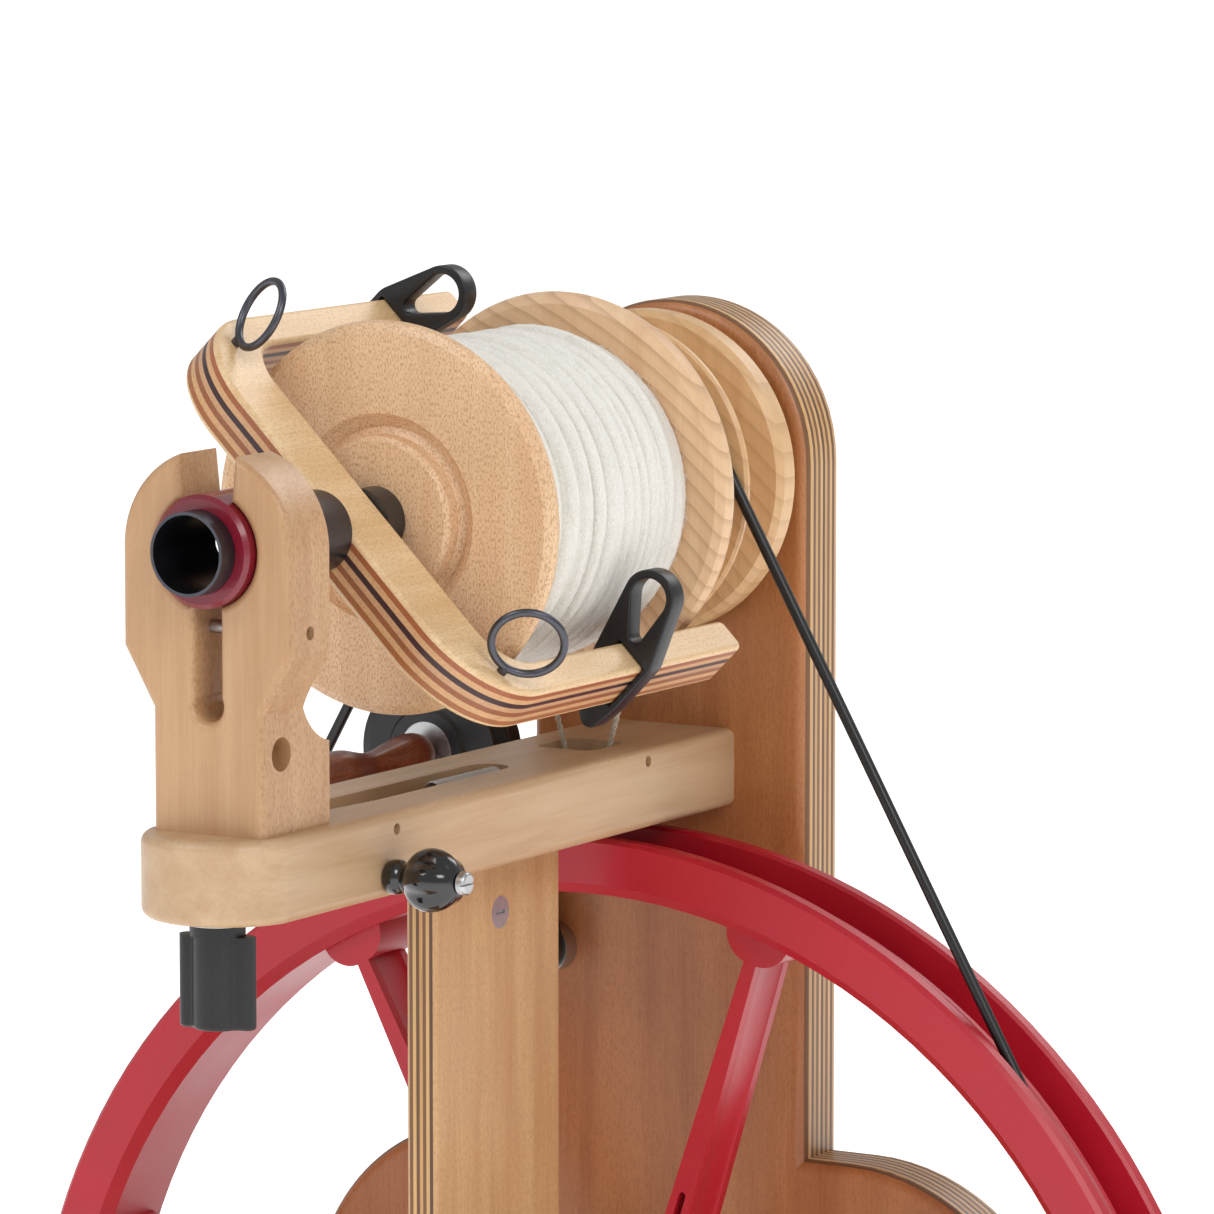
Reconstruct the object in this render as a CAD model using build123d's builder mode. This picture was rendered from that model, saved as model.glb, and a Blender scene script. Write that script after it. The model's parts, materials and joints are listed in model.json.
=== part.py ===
"""Upright spinning wheel with a plying flyer, scotch brake and double treadle. Millimetres, +Z up.

The origin is on the floor, under the middle of the object. The spinner sits on the -Y side, so the
orifice points along -Y. Depths are measured from the front face of the drive wheel's rim, +Y away
from the spinner, and heights from the floor.
"""
from build123d import *
from math import acos, atan2, cos, degrees, radians, sin, sqrt
import os

os.makedirs("parts", exist_ok=True)

# ---------------------------------------------------------------- driving dimensions
RIM_Y = 87.0            # row Y of the rim's front face, which centres the object's box on the origin
HUB_Z = 290.0           # height of the drive wheel's axle
SHAFT_Z = HUB_Z + 319.5  # height of the flyer shaft
SLACK = 0.3             # air between faces of different moving bodies
RUNNING = 0.05          # radial clearance of a shaft in its bearing

RIM_R = 210.0           # drive wheel
RIM_WIDTH = 36.0
SPOKES = 8
FIRST_SPOKE = 17.6      # degrees clockwise from the top, seen from the front
CRANK_R = 24.0          # crank pins stand this far from the axle

BAND_Y = RIM_Y + 9.6    # plane of the drive band
BAND_R = 1.75           # the band's own radius
BAND_ON_WHEEL = 199.0   # centreline radius of the band round the wheel
BAND_ON_WHORL = 42.2    # and round the flyer whorl

BRAKE_Y = RIM_Y + 2.0   # plane of the brake cord
BRAKE_CORD_R = 1.0
BRAKE_ON_BOBBIN = 30.2

PANEL_FRONT = RIM_Y + 51.7
PANEL_THICK = 22.0
NECK_HALF = 49.5
PANEL_TOP_Z = 662.0

BAR_TOP_Z = HUB_Z + 239.0   # mother-of-all: the wooden bar that carries the maiden
BAR_DEEP = 24.4
BAR_HALF = 24.0
BAR_NOSE = RIM_Y - 222.0
BAR_BOTTOM_Z = BAR_TOP_Z - BAR_DEEP

MAIDEN_FRONT = RIM_Y - 208.0
MAIDEN_FOOT_DEEP = 35.0
MAIDEN_HEAD_DEEP = 20.0
ORIFICE_R = 12.0
ORIFICE_BORE = 11.1

POST_HALF = 5.3
POST_FRONT = RIM_Y - 94.5
POST_DEEP = 71.8

FLYER_BAR_FRONT = RIM_Y - 150.0
FLYER_BAR_DEEP = 23.0
FLYER_TIP = RIM_Y - 2.0
FLYER_ARM_AT = 68.0     # arm centreline from the shaft
FLYER_ARM_WIDE = 11.0
FLYER_THICK = 16.0
FLYER_TURN = 45.0       # the flyer rests with its first arm up and to the left
SHAFT_R = 5.0

BEAM_THICK = 22.0
FOOT_H = 6.0
BEAM_TOP = FOOT_H + BEAM_THICK
FRONT_BEAM_Y = RIM_Y - 286.0
FRONT_BEAM_DEEP = 50.0
REAR_BEAM_DEEP = 60.3
RAIL_TOP = 50.0
RAIL_HALF = 8.0

TREADLE_HINGE_Y = RIM_Y - 255.0
TREADLE_Z = 45.0        # hinge axis and middle of the treadle boards
TREADLE_THICK = 12.0
TREADLE_IN = 10.5
TREADLE_OUT = 112.0
HINGE_PIN_R = 4.0
FRONT_FOOTMAN_Y = RIM_Y - 11.8
REAR_FOOTMAN_Y = RIM_Y + 43.5
FOOTMAN_THICK = 6.4
FOOTMAN_WIDE = 14.0

IDLER_X = -59.0
IDLER_Z = HUB_Z + 231.6
IDLER_PIVOT_X = -41.0
IDLER_PIVOT_Z = HUB_Z + 165.0


# ---------------------------------------------------------------- planes, axes and saving
def front_plane(y, x=0.0, z=0.0):
    """Plane facing the spinner at row Y: local x to the right, local y up, extrudes towards -Y."""
    return Plane(origin=(x, y, z), x_dir=(1, 0, 0), z_dir=(0, -1, 0))


def side_plane(x, y=0.0, z=0.0):
    """Plane facing +X: local x along +Y, local y up."""
    return Plane(origin=(x, y, z), x_dir=(0, 1, 0), z_dir=(1, 0, 0))


def level(z):
    """Horizontal plane at height z."""
    return Plane.XY.offset(z)


def deep_axis(z, x=0.0):
    """Axis along +Y at height z."""
    return Axis((x, 0, z), (0, 1, 0))


def save(piece, name):
    """Label a finished piece and write its STEP file."""
    piece.part.label = name
    export_step(piece.part, f"parts/{name}.step")


def turned(points, z, x=0.0):
    """Turned piece about the axis along Y at (x, z), from its (radius, y) outline."""
    with BuildPart() as piece:
        with BuildSketch(level(z)):
            with BuildLine():
                Polyline(*[(x + radius, y) for radius, y in points], close=True)
            make_face()
        revolve(axis=deep_axis(z, x))
    return piece.part


def tube(outer, inner, start, length, z, x=0.0):
    """Straight ring about the axis along Y at (x, z)."""
    return turned([(inner, start), (outer, start), (outer, start + length), (inner, start + length)], z, x)


# ---------------------------------------------------------------- back panel
SHOULDER_R = 70.0
SHOULDER_IN = 65.0
SHOULDER_TOP = HUB_Z + 105.0
SHOULDER_FILLET = 15.0
PANEL_FOOT_HALF = 160.0
PANEL_EDGE = 4.0
BEARING_R = 13.0
BEARING_WIDE = 8.0
AXLE_R = 6.0
ARCH_HALF = 96.0        # the arch that is cut into the panel's foot
ARCH_H = 62.0
REAR_BOLT_X = 13.0      # the two bolts that hold the mother-of-all stand this far off the middle
REAR_BOLT_R = 3.0
PIVOT_BOLT_R = 4.0

with BuildPart() as back_panel:
    with BuildSketch(front_plane(PANEL_FRONT)) as outline:
        neck_top = PANEL_TOP_Z - NECK_HALF
        with BuildLine():
            side = Line((0, BEAM_TOP), (PANEL_FOOT_HALF, BEAM_TOP))
            flank = Line(side @ 1, (SHOULDER_IN + SHOULDER_R, SHOULDER_TOP - SHOULDER_R))
            shoulder = JernArc(flank @ 1, (0, 1), SHOULDER_R, 90)
            ledge = Line(shoulder @ 1, (NECK_HALF, SHOULDER_TOP))
            neck = Line(ledge @ 1, (NECK_HALF, neck_top))
            crown = JernArc(neck @ 1, (0, 1), NECK_HALF, 90)
            Line(crown @ 1, (0, BEAM_TOP))
        make_face()
        inner_corner = outline.vertices().filter_by_position(Axis.X, NECK_HALF - 1, NECK_HALF + 1)
        fillet(inner_corner.sort_by(Axis.Z)[:1], SHOULDER_FILLET)
        mirror(about=Plane.YZ)
    extrude(amount=-PANEL_THICK)
    front_face = back_panel.faces().sort_by(Axis.Y)[0]
    back_face = back_panel.faces().sort_by(Axis.Y)[-1]
    upper = [e for f in (front_face, back_face) for e in f.edges() if e.center().Z > BEAM_TOP + 1]
    fillet(upper, PANEL_EDGE)
    with BuildSketch(front_plane(PANEL_FRONT)):
        with Locations((0, BEAM_TOP)):
            Ellipse(ARCH_HALF, ARCH_H)
        with Locations((0, BEAM_TOP + ARCH_H)):
            Rectangle(2 * RAIL_HALF, 2 * ARCH_H, mode=Mode.SUBTRACT)
    extrude(amount=-PANEL_THICK, mode=Mode.SUBTRACT)
    with Locations(front_plane(PANEL_FRONT, z=SHAFT_Z)):
        CounterBoreHole(SHAFT_R + 1.5, BEARING_R, BEARING_WIDE + 0.2)
    with Locations(front_plane(PANEL_FRONT, z=HUB_Z)):
        Hole(AXLE_R)
    with Locations(front_plane(PANEL_FRONT, IDLER_PIVOT_X, IDLER_PIVOT_Z)):
        Hole(PIVOT_BOLT_R)
    with Locations(*[front_plane(PANEL_FRONT, side * REAR_BOLT_X, BAR_BOTTOM_Z + BAR_DEEP / 2)
                     for side in (-1, 1)]):
        Hole(REAR_BOLT_R)
save(back_panel, "back_panel")

# ---------------------------------------------------------------- base
with BuildPart() as rear_beam:
    with BuildSketch(level(FOOT_H)):
        with Locations((0, PANEL_FRONT + REAR_BEAM_DEEP / 2)):
            RectangleRounded(384, REAR_BEAM_DEEP, 12)
    extrude(amount=BEAM_THICK)
    fillet(rear_beam.edges().group_by(Axis.Z)[0], 2.5)
save(rear_beam, "rear_beam")

with BuildPart() as front_beam:
    with BuildSketch(level(FOOT_H)):
        with Locations((0, FRONT_BEAM_Y + FRONT_BEAM_DEEP / 2)):
            RectangleRounded(300, FRONT_BEAM_DEEP, 12)
    extrude(amount=BEAM_THICK)
    fillet(front_beam.edges().group_by(Axis.Z)[0], 2.5)
    fillet(front_beam.edges().group_by(Axis.Z)[-1], 2.5)
save(front_beam, "front_beam")

RAIL_START = FRONT_BEAM_Y + FRONT_BEAM_DEEP
with BuildPart() as base_rail:
    with BuildSketch(level(FOOT_H)):
        with Locations((0, (RAIL_START + PANEL_FRONT) / 2)):
            Rectangle(2 * RAIL_HALF, PANEL_FRONT - RAIL_START)
    extrude(amount=RAIL_TOP - FOOT_H)
    chamfer(base_rail.edges().group_by(Axis.Z)[0].filter_by(Axis.Y), 2)
save(base_rail, "base_rail")

FOOT_SPOTS = [(-132, FRONT_BEAM_Y + 25), (132, FRONT_BEAM_Y + 25),
              (-170, PANEL_FRONT + 30), (170, PANEL_FRONT + 30)]
with BuildPart() as rubber_feet:
    with BuildSketch(level(0)):
        with Locations(*FOOT_SPOTS):
            Circle(13)
    extrude(amount=FOOT_H, taper=6)
save(rubber_feet, "rubber_feet")

# ---------------------------------------------------------------- front post and mother-of-all
BARREL_NUT_R = 5.0
BARREL_NUT_Y = RIM_Y - 57.8
BARREL_NUT_Z = HUB_Z + 195.5
with BuildPart() as front_post:
    with BuildSketch(level(RAIL_TOP)):
        with Locations((0, POST_FRONT + POST_DEEP / 2)):
            RectangleRounded(2 * POST_HALF, POST_DEEP, 1.5)
    extrude(amount=BAR_BOTTOM_Z - RAIL_TOP)
    with Locations(side_plane(POST_HALF, BARREL_NUT_Y, BARREL_NUT_Z)):
        Hole(BARREL_NUT_R)
    with Locations(Plane(origin=(0, BARREL_NUT_Y, BAR_BOTTOM_Z))):
        Hole(2.5, depth=BAR_BOTTOM_Z - BARREL_NUT_Z)
save(front_post, "front_post")

with BuildPart() as barrel_nut:
    with BuildSketch(side_plane(-POST_HALF, BARREL_NUT_Y, BARREL_NUT_Z)):
        Circle(BARREL_NUT_R)
    extrude(amount=2 * POST_HALF)
    with BuildSketch(side_plane(POST_HALF, BARREL_NUT_Y, BARREL_NUT_Z)):
        SlotCenterToCenter(4, 1.2)
    extrude(amount=-1, mode=Mode.SUBTRACT)
    with Locations(Plane(origin=(0, BARREL_NUT_Y, BARREL_NUT_Z + BARREL_NUT_R))):
        Hole(2.5, depth=BARREL_NUT_R)
save(barrel_nut, "barrel_nut")

SLOT_START = RIM_Y - 155.0
SLOT_END = RIM_Y - 50.0
SLOT_WIDE = 13.0
SLOT_DEEP = 20.8
POCKET_START = RIM_Y - 13.0
POCKET_END = RIM_Y + 9.5
POCKET_HALF = 10.5
POCKET_DEEP = 15.0
PIN_R = 1.7
BRAKE_PIN_Y = RIM_Y - 1.5
BRAKE_PIN_Z = BAR_TOP_Z - 3.6
ANCHOR_Y = RIM_Y - 145.6
ANCHOR_Z = BAR_TOP_Z - 4.9
TENSION_Y = RIM_Y - 150.0
TENSION_Z = HUB_Z + 221.0
TENSION_SHAFT_R = 2.5
WING_Y = RIM_Y - 203.0
WING_STUD_R = 4.0

with BuildPart() as mother_of_all:
    with BuildSketch(level(BAR_BOTTOM_Z)):
        with BuildLine():
            nose_side = BAR_NOSE + 19
            nose = ThreePointArc((-BAR_HALF, nose_side), (0, BAR_NOSE), (BAR_HALF, nose_side))
            Polyline(nose @ 1, (BAR_HALF, PANEL_FRONT), (-BAR_HALF, PANEL_FRONT), nose @ 0)
        make_face()
    extrude(amount=BAR_DEEP)
    rims = [e for i in (0, -1) for e in mother_of_all.edges().group_by(Axis.Z)[i]
            if e.center().Y < PANEL_FRONT - 1]
    fillet(rims, 3.0)
    with BuildSketch(level(BAR_TOP_Z)):
        with Locations((0, (SLOT_START + SLOT_END) / 2)):
            SlotOverall(SLOT_END - SLOT_START, SLOT_WIDE, rotation=90)
    extrude(amount=-SLOT_DEEP, mode=Mode.SUBTRACT)
    with BuildSketch(level(BAR_TOP_Z)):
        with Locations((0, (POCKET_START + POCKET_END) / 2)):
            RectangleRounded(2 * POCKET_HALF, POCKET_END - POCKET_START, 5)
    extrude(amount=-POCKET_DEEP, mode=Mode.SUBTRACT)
    with Locations(side_plane(BAR_HALF, BRAKE_PIN_Y, BRAKE_PIN_Z)):
        Hole(PIN_R, depth=BAR_HALF + POCKET_HALF + 6)
    with Locations(side_plane(BAR_HALF, ANCHOR_Y, ANCHOR_Z)):
        Hole(PIN_R, depth=BAR_HALF + SLOT_WIDE / 2 + 6)
    with Locations(side_plane(BAR_HALF, TENSION_Y, TENSION_Z)):
        Hole(TENSION_SHAFT_R + RUNNING, depth=BAR_HALF + SLOT_WIDE / 2 + 4)
    with Locations(Plane(origin=(0, WING_Y, BAR_TOP_Z))):
        Hole(WING_STUD_R + RUNNING)
    with Locations(Plane(origin=(0, BARREL_NUT_Y, BAR_TOP_Z))):
        Hole(2.5)
save(mother_of_all, "mother_of_all")

with BuildPart() as post_bolt:
    with BuildSketch(level(BARREL_NUT_Z)):
        with Locations((0, BARREL_NUT_Y)):
            Circle(2.5)
    extrude(amount=BAR_TOP_Z - SLOT_DEEP - BARREL_NUT_Z)
    with BuildSketch(level(BAR_TOP_Z - SLOT_DEEP)):
        with Locations((0, BARREL_NUT_Y)):
            Circle(4.2)
    extrude(amount=3.4)
    with BuildSketch(level(BAR_TOP_Z - SLOT_DEEP + 3.4)):
        with Locations((0, BARREL_NUT_Y)):
            RegularPolygon(2.0, 6)
    extrude(amount=-2, mode=Mode.SUBTRACT)
save(post_bolt, "post_bolt")

# ---------------------------------------------------------------- front maiden
HEAD_R = 28.5
FOOT_HALF = 18.6
COVE_Z = HUB_Z + 274.0
HEAD_Z = HUB_Z + 291.0
SEAT_R = 16.2
MOUTH_HALF = 8.5
KEYHOLE_Z = HUB_Z + 275.6
KEYHOLE_R = 4.8
CLAMP_SCREW_Z = HUB_Z + 297.0
CLAMP_SCREW_Y = MAIDEN_FRONT + 10
MAIDEN_EDGE = 2.6
with BuildPart() as front_maiden:
    with BuildSketch(front_plane(MAIDEN_FRONT)) as maiden_outline:
        with BuildLine():
            foot = Polyline((0, BAR_TOP_Z), (FOOT_HALF, BAR_TOP_Z), (FOOT_HALF, COVE_Z), (HEAD_R, HEAD_Z))
            jaw = Line(foot @ 1, (HEAD_R, SHAFT_Z))
            crown = JernArc(jaw @ 1, (0, 1), HEAD_R, 90)
            Line(crown @ 1, (0, BAR_TOP_Z))
        make_face()
        fillet(maiden_outline.vertices().filter_by_position(Axis.Z, COVE_Z - 1, HEAD_Z + 1), 9)
        mirror(about=Plane.YZ)
        with Locations((0, SHAFT_Z)):
            Circle(SEAT_R, mode=Mode.SUBTRACT)
            with Locations((0, HEAD_R)):
                Trapezoid(2 * MOUTH_HALF + 8, 2 * HEAD_R, 84, rotation=180, mode=Mode.SUBTRACT)
        with Locations((0, (KEYHOLE_Z + SHAFT_Z) / 2)):
            Rectangle(8.6, SHAFT_Z - KEYHOLE_Z, mode=Mode.SUBTRACT)
        with Locations((0, KEYHOLE_Z)):
            Circle(KEYHOLE_R, mode=Mode.SUBTRACT)
        horn_tips = maiden_outline.vertices().filter_by_position(Axis.Z, SHAFT_Z + 20, SHAFT_Z + 60)
        fillet(horn_tips, 4)
    extrude(amount=-MAIDEN_FOOT_DEEP)
    head_back = MAIDEN_FRONT + MAIDEN_HEAD_DEEP
    foot_back = MAIDEN_FRONT + MAIDEN_FOOT_DEEP
    with BuildSketch(side_plane(-HEAD_R - 2)):
        with BuildLine():
            cove = ThreePointArc((foot_back, HUB_Z + 263), (head_back + 3, HUB_Z + 271),
                                 (head_back, HUB_Z + 284))
            Polyline(cove @ 1, (head_back, PANEL_TOP_Z), (foot_back + 5, PANEL_TOP_Z),
                     (foot_back + 5, HUB_Z + 263), cove @ 0)
        make_face()
    extrude(amount=2 * HEAD_R + 4, mode=Mode.SUBTRACT)
    front_rim = front_maiden.faces().sort_by(Axis.Y)[0].outer_wire().edges()
    fillet([e for e in front_rim if e.center().Z > BAR_TOP_Z + 1], MAIDEN_EDGE)
    with Locations(side_plane(HEAD_R, CLAMP_SCREW_Y, CLAMP_SCREW_Z)):
        Hole(2.0, depth=2 * HEAD_R - 6)
    with Locations(side_plane(FOOT_HALF, MAIDEN_FRONT + 10, HUB_Z + 262)):
        Hole(4.9, depth=12)
    with Locations(Plane(origin=(0, WING_Y, BAR_TOP_Z), z_dir=(0, 0, -1))):
        Hole(WING_STUD_R + RUNNING, depth=16)
save(front_maiden, "front_maiden")

with BuildPart() as maiden_clamp_screw:
    with BuildSketch(side_plane(HEAD_R - 8, CLAMP_SCREW_Y, CLAMP_SCREW_Z)):
        Circle(2.0)
    extrude(amount=-2 * HEAD_R + 16)
save(maiden_clamp_screw, "maiden_clamp_screw")

with BuildPart() as orifice_bearing:
    start = MAIDEN_FRONT - 3
    inner = ORIFICE_R + RUNNING
    end = head_back + 1
    add(turned([(inner, start), (SEAT_R - 1.2, start), (SEAT_R, start + 1.2), (SEAT_R, end), (inner, end)],
               SHAFT_Z))
save(orifice_bearing, "orifice_bearing")

# ---------------------------------------------------------------- flyer
BAR_CORNER_OUT = 30.0
BAR_CORNER_IN = 15.0
ARM_IN = FLYER_ARM_AT - FLYER_ARM_WIDE / 2
ARM_OUT = FLYER_ARM_AT + FLYER_ARM_WIDE / 2
ACROSS = (-cos(radians(FLYER_TURN)), 0, sin(radians(FLYER_TURN)))   # towards the first arm
FACE_OUT = (sin(radians(FLYER_TURN)), 0, cos(radians(FLYER_TURN)))  # normal of the flyer's broad face


def flyer_point(across, y, out):
    """Row point from a distance across the flyer, a row Y and a height off its middle plane."""
    return (across * ACROSS[0] + out * FACE_OUT[0], y, SHAFT_Z + across * ACROSS[2] + out * FACE_OUT[2])


def flyer_plane(out):
    """Plane parallel to the broad face: local x across towards the first arm, local y along +Y."""
    return Plane(origin=flyer_point(0, 0, out), x_dir=ACROSS, z_dir=tuple(-f for f in FACE_OUT))


with BuildPart() as flyer_fork:
    with BuildSketch(flyer_plane(FLYER_THICK / 2)) as fork_outline:
        bar_back = FLYER_BAR_FRONT + FLYER_BAR_DEEP
        with BuildLine():
            Polyline((-ARM_OUT, FLYER_TIP), (-ARM_OUT, FLYER_BAR_FRONT), (ARM_OUT, FLYER_BAR_FRONT),
                     (ARM_OUT, FLYER_TIP), (ARM_IN, FLYER_TIP), (ARM_IN, bar_back),
                     (-ARM_IN, bar_back), (-ARM_IN, FLYER_TIP), close=True)
        make_face()
        fillet([v for v in fork_outline.vertices() if abs(v.Y - FLYER_BAR_FRONT) < 1], BAR_CORNER_OUT)
        fillet([v for v in fork_outline.vertices() if abs(v.Y - bar_back) < 1], BAR_CORNER_IN)
        fillet([v for v in fork_outline.vertices() if abs(v.Y - FLYER_TIP) < 1], 2.5)
    extrude(amount=FLYER_THICK)
    faces = flyer_fork.faces().sort_by(Axis(origin=(0, 0, SHAFT_Z), direction=FACE_OUT))
    fillet(faces[0].edges() + faces[-1].edges(), 1.6)
    with BuildSketch(front_plane(FLYER_BAR_FRONT, z=SHAFT_Z)):
        Circle(SHAFT_R)
    extrude(amount=-FLYER_BAR_DEEP, mode=Mode.SUBTRACT)
save(flyer_fork, "flyer_fork")

with BuildPart() as orifice_tube:
    mouth = RIM_Y - 217.7
    add(tube(ORIFICE_R, ORIFICE_BORE, mouth, FLYER_BAR_FRONT - mouth - 3, SHAFT_Z))
    add(turned([(0, FLYER_BAR_FRONT - 3), (ORIFICE_R, FLYER_BAR_FRONT - 3), (ORIFICE_R, FLYER_BAR_FRONT),
                (0, FLYER_BAR_FRONT)], SHAFT_Z))
    with BuildSketch(side_plane(-ORIFICE_R - 1, RIM_Y - 171, SHAFT_Z)):
        SlotCenterToCenter(17, 13)
    extrude(amount=ORIFICE_R, mode=Mode.SUBTRACT)
save(orifice_tube, "orifice_tube")

BOSS_FACE = RIM_Y - 118.0
with BuildPart() as flyer_collar:
    add(tube(10, SHAFT_R, FLYER_BAR_FRONT + FLYER_BAR_DEEP, BOSS_FACE - SLACK - bar_back, SHAFT_Z))
save(flyer_collar, "flyer_collar")

with BuildPart() as flyer_shaft:
    shaft_end = PANEL_FRONT + BEARING_WIDE
    add(turned([(0, FLYER_BAR_FRONT), (SHAFT_R, FLYER_BAR_FRONT), (SHAFT_R, shaft_end - 1),
                (SHAFT_R - 1, shaft_end), (0, shaft_end)], SHAFT_Z))
save(flyer_shaft, "flyer_shaft")

WHORL_FRONT = RIM_Y + 5.2
LIP_R = 50.5
STEP_R = 29.0
WHORL_BACK = RIM_Y + 50.0
with BuildPart() as flyer_whorl:
    groove = BAND_R + SLACK
    add(turned([(SHAFT_R, WHORL_FRONT), (46, WHORL_FRONT), (47, WHORL_FRONT + 0.7),
                (46.5, BAND_Y - groove - 0.7), (BAND_ON_WHORL, BAND_Y - groove),
                (BAND_ON_WHORL - groove, BAND_Y - 1), (BAND_ON_WHORL - groove, BAND_Y + 1),
                (BAND_ON_WHORL, BAND_Y + groove), (LIP_R - 0.8, BAND_Y + 2.6), (LIP_R, BAND_Y + 3.4),
                (LIP_R, RIM_Y + 14.2), (LIP_R - 0.8, RIM_Y + 15), (STEP_R + 8, RIM_Y + 16.5),
                (STEP_R, RIM_Y + 20), (STEP_R, RIM_Y + 23), (STEP_R + 7, RIM_Y + 30),
                (STEP_R + 8, RIM_Y + 34), (LIP_R - 2, RIM_Y + 34), (LIP_R, RIM_Y + 35.8),
                (LIP_R, RIM_Y + 42.2), (LIP_R - 2, RIM_Y + 44), (14, RIM_Y + 44), (13, WHORL_BACK),
                (SHAFT_R, WHORL_BACK)], SHAFT_Z))
save(flyer_whorl, "flyer_whorl")

LOOP_R = 10.5
LOOP_WIRE_R = 1.2
LOOP_AT = 64.0
LOOP_Y = RIM_Y - 132.0
LOOP_FACING = 38.5      # degrees from straight ahead towards the outside
with BuildPart() as wire_loops:
    for side in (1, -1):
        ahead = -cos(radians(LOOP_FACING))
        outward = side * sin(radians(LOOP_FACING))
        normal = (outward * ACROSS[0], ahead, outward * ACROSS[2])
        centre = flyer_point(side * LOOP_AT, LOOP_Y, FLYER_THICK / 2 + 12.6)
        foot = flyer_point(side * LOOP_AT, LOOP_Y, FLYER_THICK / 2)
        with Locations(Plane(origin=centre, x_dir=FACE_OUT, z_dir=normal)):
            Torus(LOOP_R, LOOP_WIRE_R)
        with BuildSketch(Plane(origin=foot, z_dir=FACE_OUT)):
            Circle(LOOP_WIRE_R + 0.3)
        extrude(amount=2.2)
save(wire_loops, "wire_loops")

# ---------------------------------------------------------------- sliding hooks
HOOK_THICK = 7.0
EYE = (-8.0, 24.5)
EYE_R = 8.5
EYE_WALL = 2.6
for name, side, hook_y in (("upper_hook", 1, RIM_Y - 38.0), ("lower_hook", -1, RIM_Y - 60.0)):
    outward = tuple(side * a for a in ACROSS)
    plane = Plane(origin=flyer_point(side * FLYER_ARM_AT, hook_y - side * HOOK_THICK / 2, 0),
                  x_dir=outward, z_dir=(0, side, 0))
    up = 1 if plane.y_dir.dot(Vector(*FACE_OUT)) > 0 else -1
    with BuildPart() as hook:
        with BuildSketch(plane):
            with Locations((EYE[0], up * EYE[1])):
                Circle(EYE_R)
            with Locations((0, up * 8.0)):
                Circle(8.6)
            with Locations((0.4, up * -8.0)):
                Circle(8.3)
            with Locations((3.6, up * -15.5)):
                Circle(3.4)
            make_hull()
            with BuildSketch(mode=Mode.PRIVATE) as opening:
                with Locations((EYE[0], up * EYE[1])):
                    Circle(EYE_R - EYE_WALL)
                with Locations((-2.6, up * 15.0)):
                    Circle(3.6)
                make_hull()
            add(opening.sketch, mode=Mode.SUBTRACT)
            Rectangle(FLYER_ARM_WIDE + 2 * SLACK, FLYER_THICK + 2 * SLACK, mode=Mode.SUBTRACT)
        extrude(amount=HOOK_THICK)
    save(hook, name)

# ---------------------------------------------------------------- bobbin and yarn
FLANGE_FRONT_R = 58.0
FLANGE_REAR_R = 59.5
BUSH_R = 8.0
CORE_R = 20.0
BOBBIN_BACK = RIM_Y + 4.8
with BuildPart() as bobbin:
    groove_r = BRAKE_ON_BOBBIN - BRAKE_CORD_R - SLACK
    add(turned([(BUSH_R, BOSS_FACE), (23, BOSS_FACE), (24.5, BOSS_FACE + 1.2), (24.9, BOSS_FACE + 5.0),
                (27, BOSS_FACE + 6.2), (29.6, BOSS_FACE + 4.6), (31, BOSS_FACE + 3), (55, BOSS_FACE + 3),
                (57.4, BOSS_FACE + 4.4), (FLANGE_FRONT_R, BOSS_FACE + 6.2), (57, BOSS_FACE + 8.6),
                (54, BOSS_FACE + 10), (CORE_R, BOSS_FACE + 10), (CORE_R, RIM_Y - 17),
                (56, RIM_Y - 17), (58.7, RIM_Y - 15.8), (FLANGE_REAR_R, RIM_Y - 13),
                (58.7, RIM_Y - 10.2), (56, RIM_Y - 9), (34, RIM_Y - 9), (34, BRAKE_Y - 3),
                (groove_r, BRAKE_Y - 1.1), (groove_r, BRAKE_Y + 1.1), (33, BRAKE_Y + 2.2),
                (33, BOBBIN_BACK), (BUSH_R, BOBBIN_BACK)], SHAFT_Z))
save(bobbin, "bobbin")

with BuildPart() as bobbin_bushes:
    add(tube(BUSH_R, SHAFT_R + RUNNING, BOSS_FACE, 9, SHAFT_Z))
    add(tube(BUSH_R, SHAFT_R + RUNNING, BOBBIN_BACK - 9, 9, SHAFT_Z))
save(bobbin_bushes, "bobbin_bushes")

with BuildPart() as yarn:
    first = BOSS_FACE + 10
    last = RIM_Y - 17
    middle = (first + last) / 2
    add(turned([(CORE_R, first), (47, first), (50, first + 12), (50.8, middle), (50, last - 16), (47, last),
                (CORE_R, last)], SHAFT_Z))
save(yarn, "yarn")

with BuildPart() as shaft_bearing:
    add(tube(BEARING_R, SHAFT_R + RUNNING, PANEL_FRONT + 0.2, BEARING_WIDE, SHAFT_Z))
save(shaft_bearing, "shaft_bearing")

# ---------------------------------------------------------------- scotch brake
with BuildPart() as brake_pin:
    with BuildSketch(side_plane(BAR_HALF - 3, BRAKE_PIN_Y, BRAKE_PIN_Z)):
        Circle(PIN_R)
    extrude(amount=-(2 * POCKET_HALF + 16))
save(brake_pin, "brake_pin")

with BuildPart() as spring_anchor:
    with BuildSketch(side_plane(BAR_HALF - 3, ANCHOR_Y, ANCHOR_Z)):
        Circle(PIN_R)
    extrude(amount=-(SLOT_WIDE + 16))
save(spring_anchor, "spring_anchor")

SPRING_R = 3.1
SPRING_START = RIM_Y - 88.0
SPRING_END = RIM_Y - 51.5
SPRING_Z = BAR_TOP_Z - 3.4
with BuildPart() as brake_spring:
    add(tube(SPRING_R, SPRING_R - 0.8, SPRING_START, SPRING_END - SPRING_START, SPRING_Z))
save(brake_spring, "brake_spring")

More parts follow.
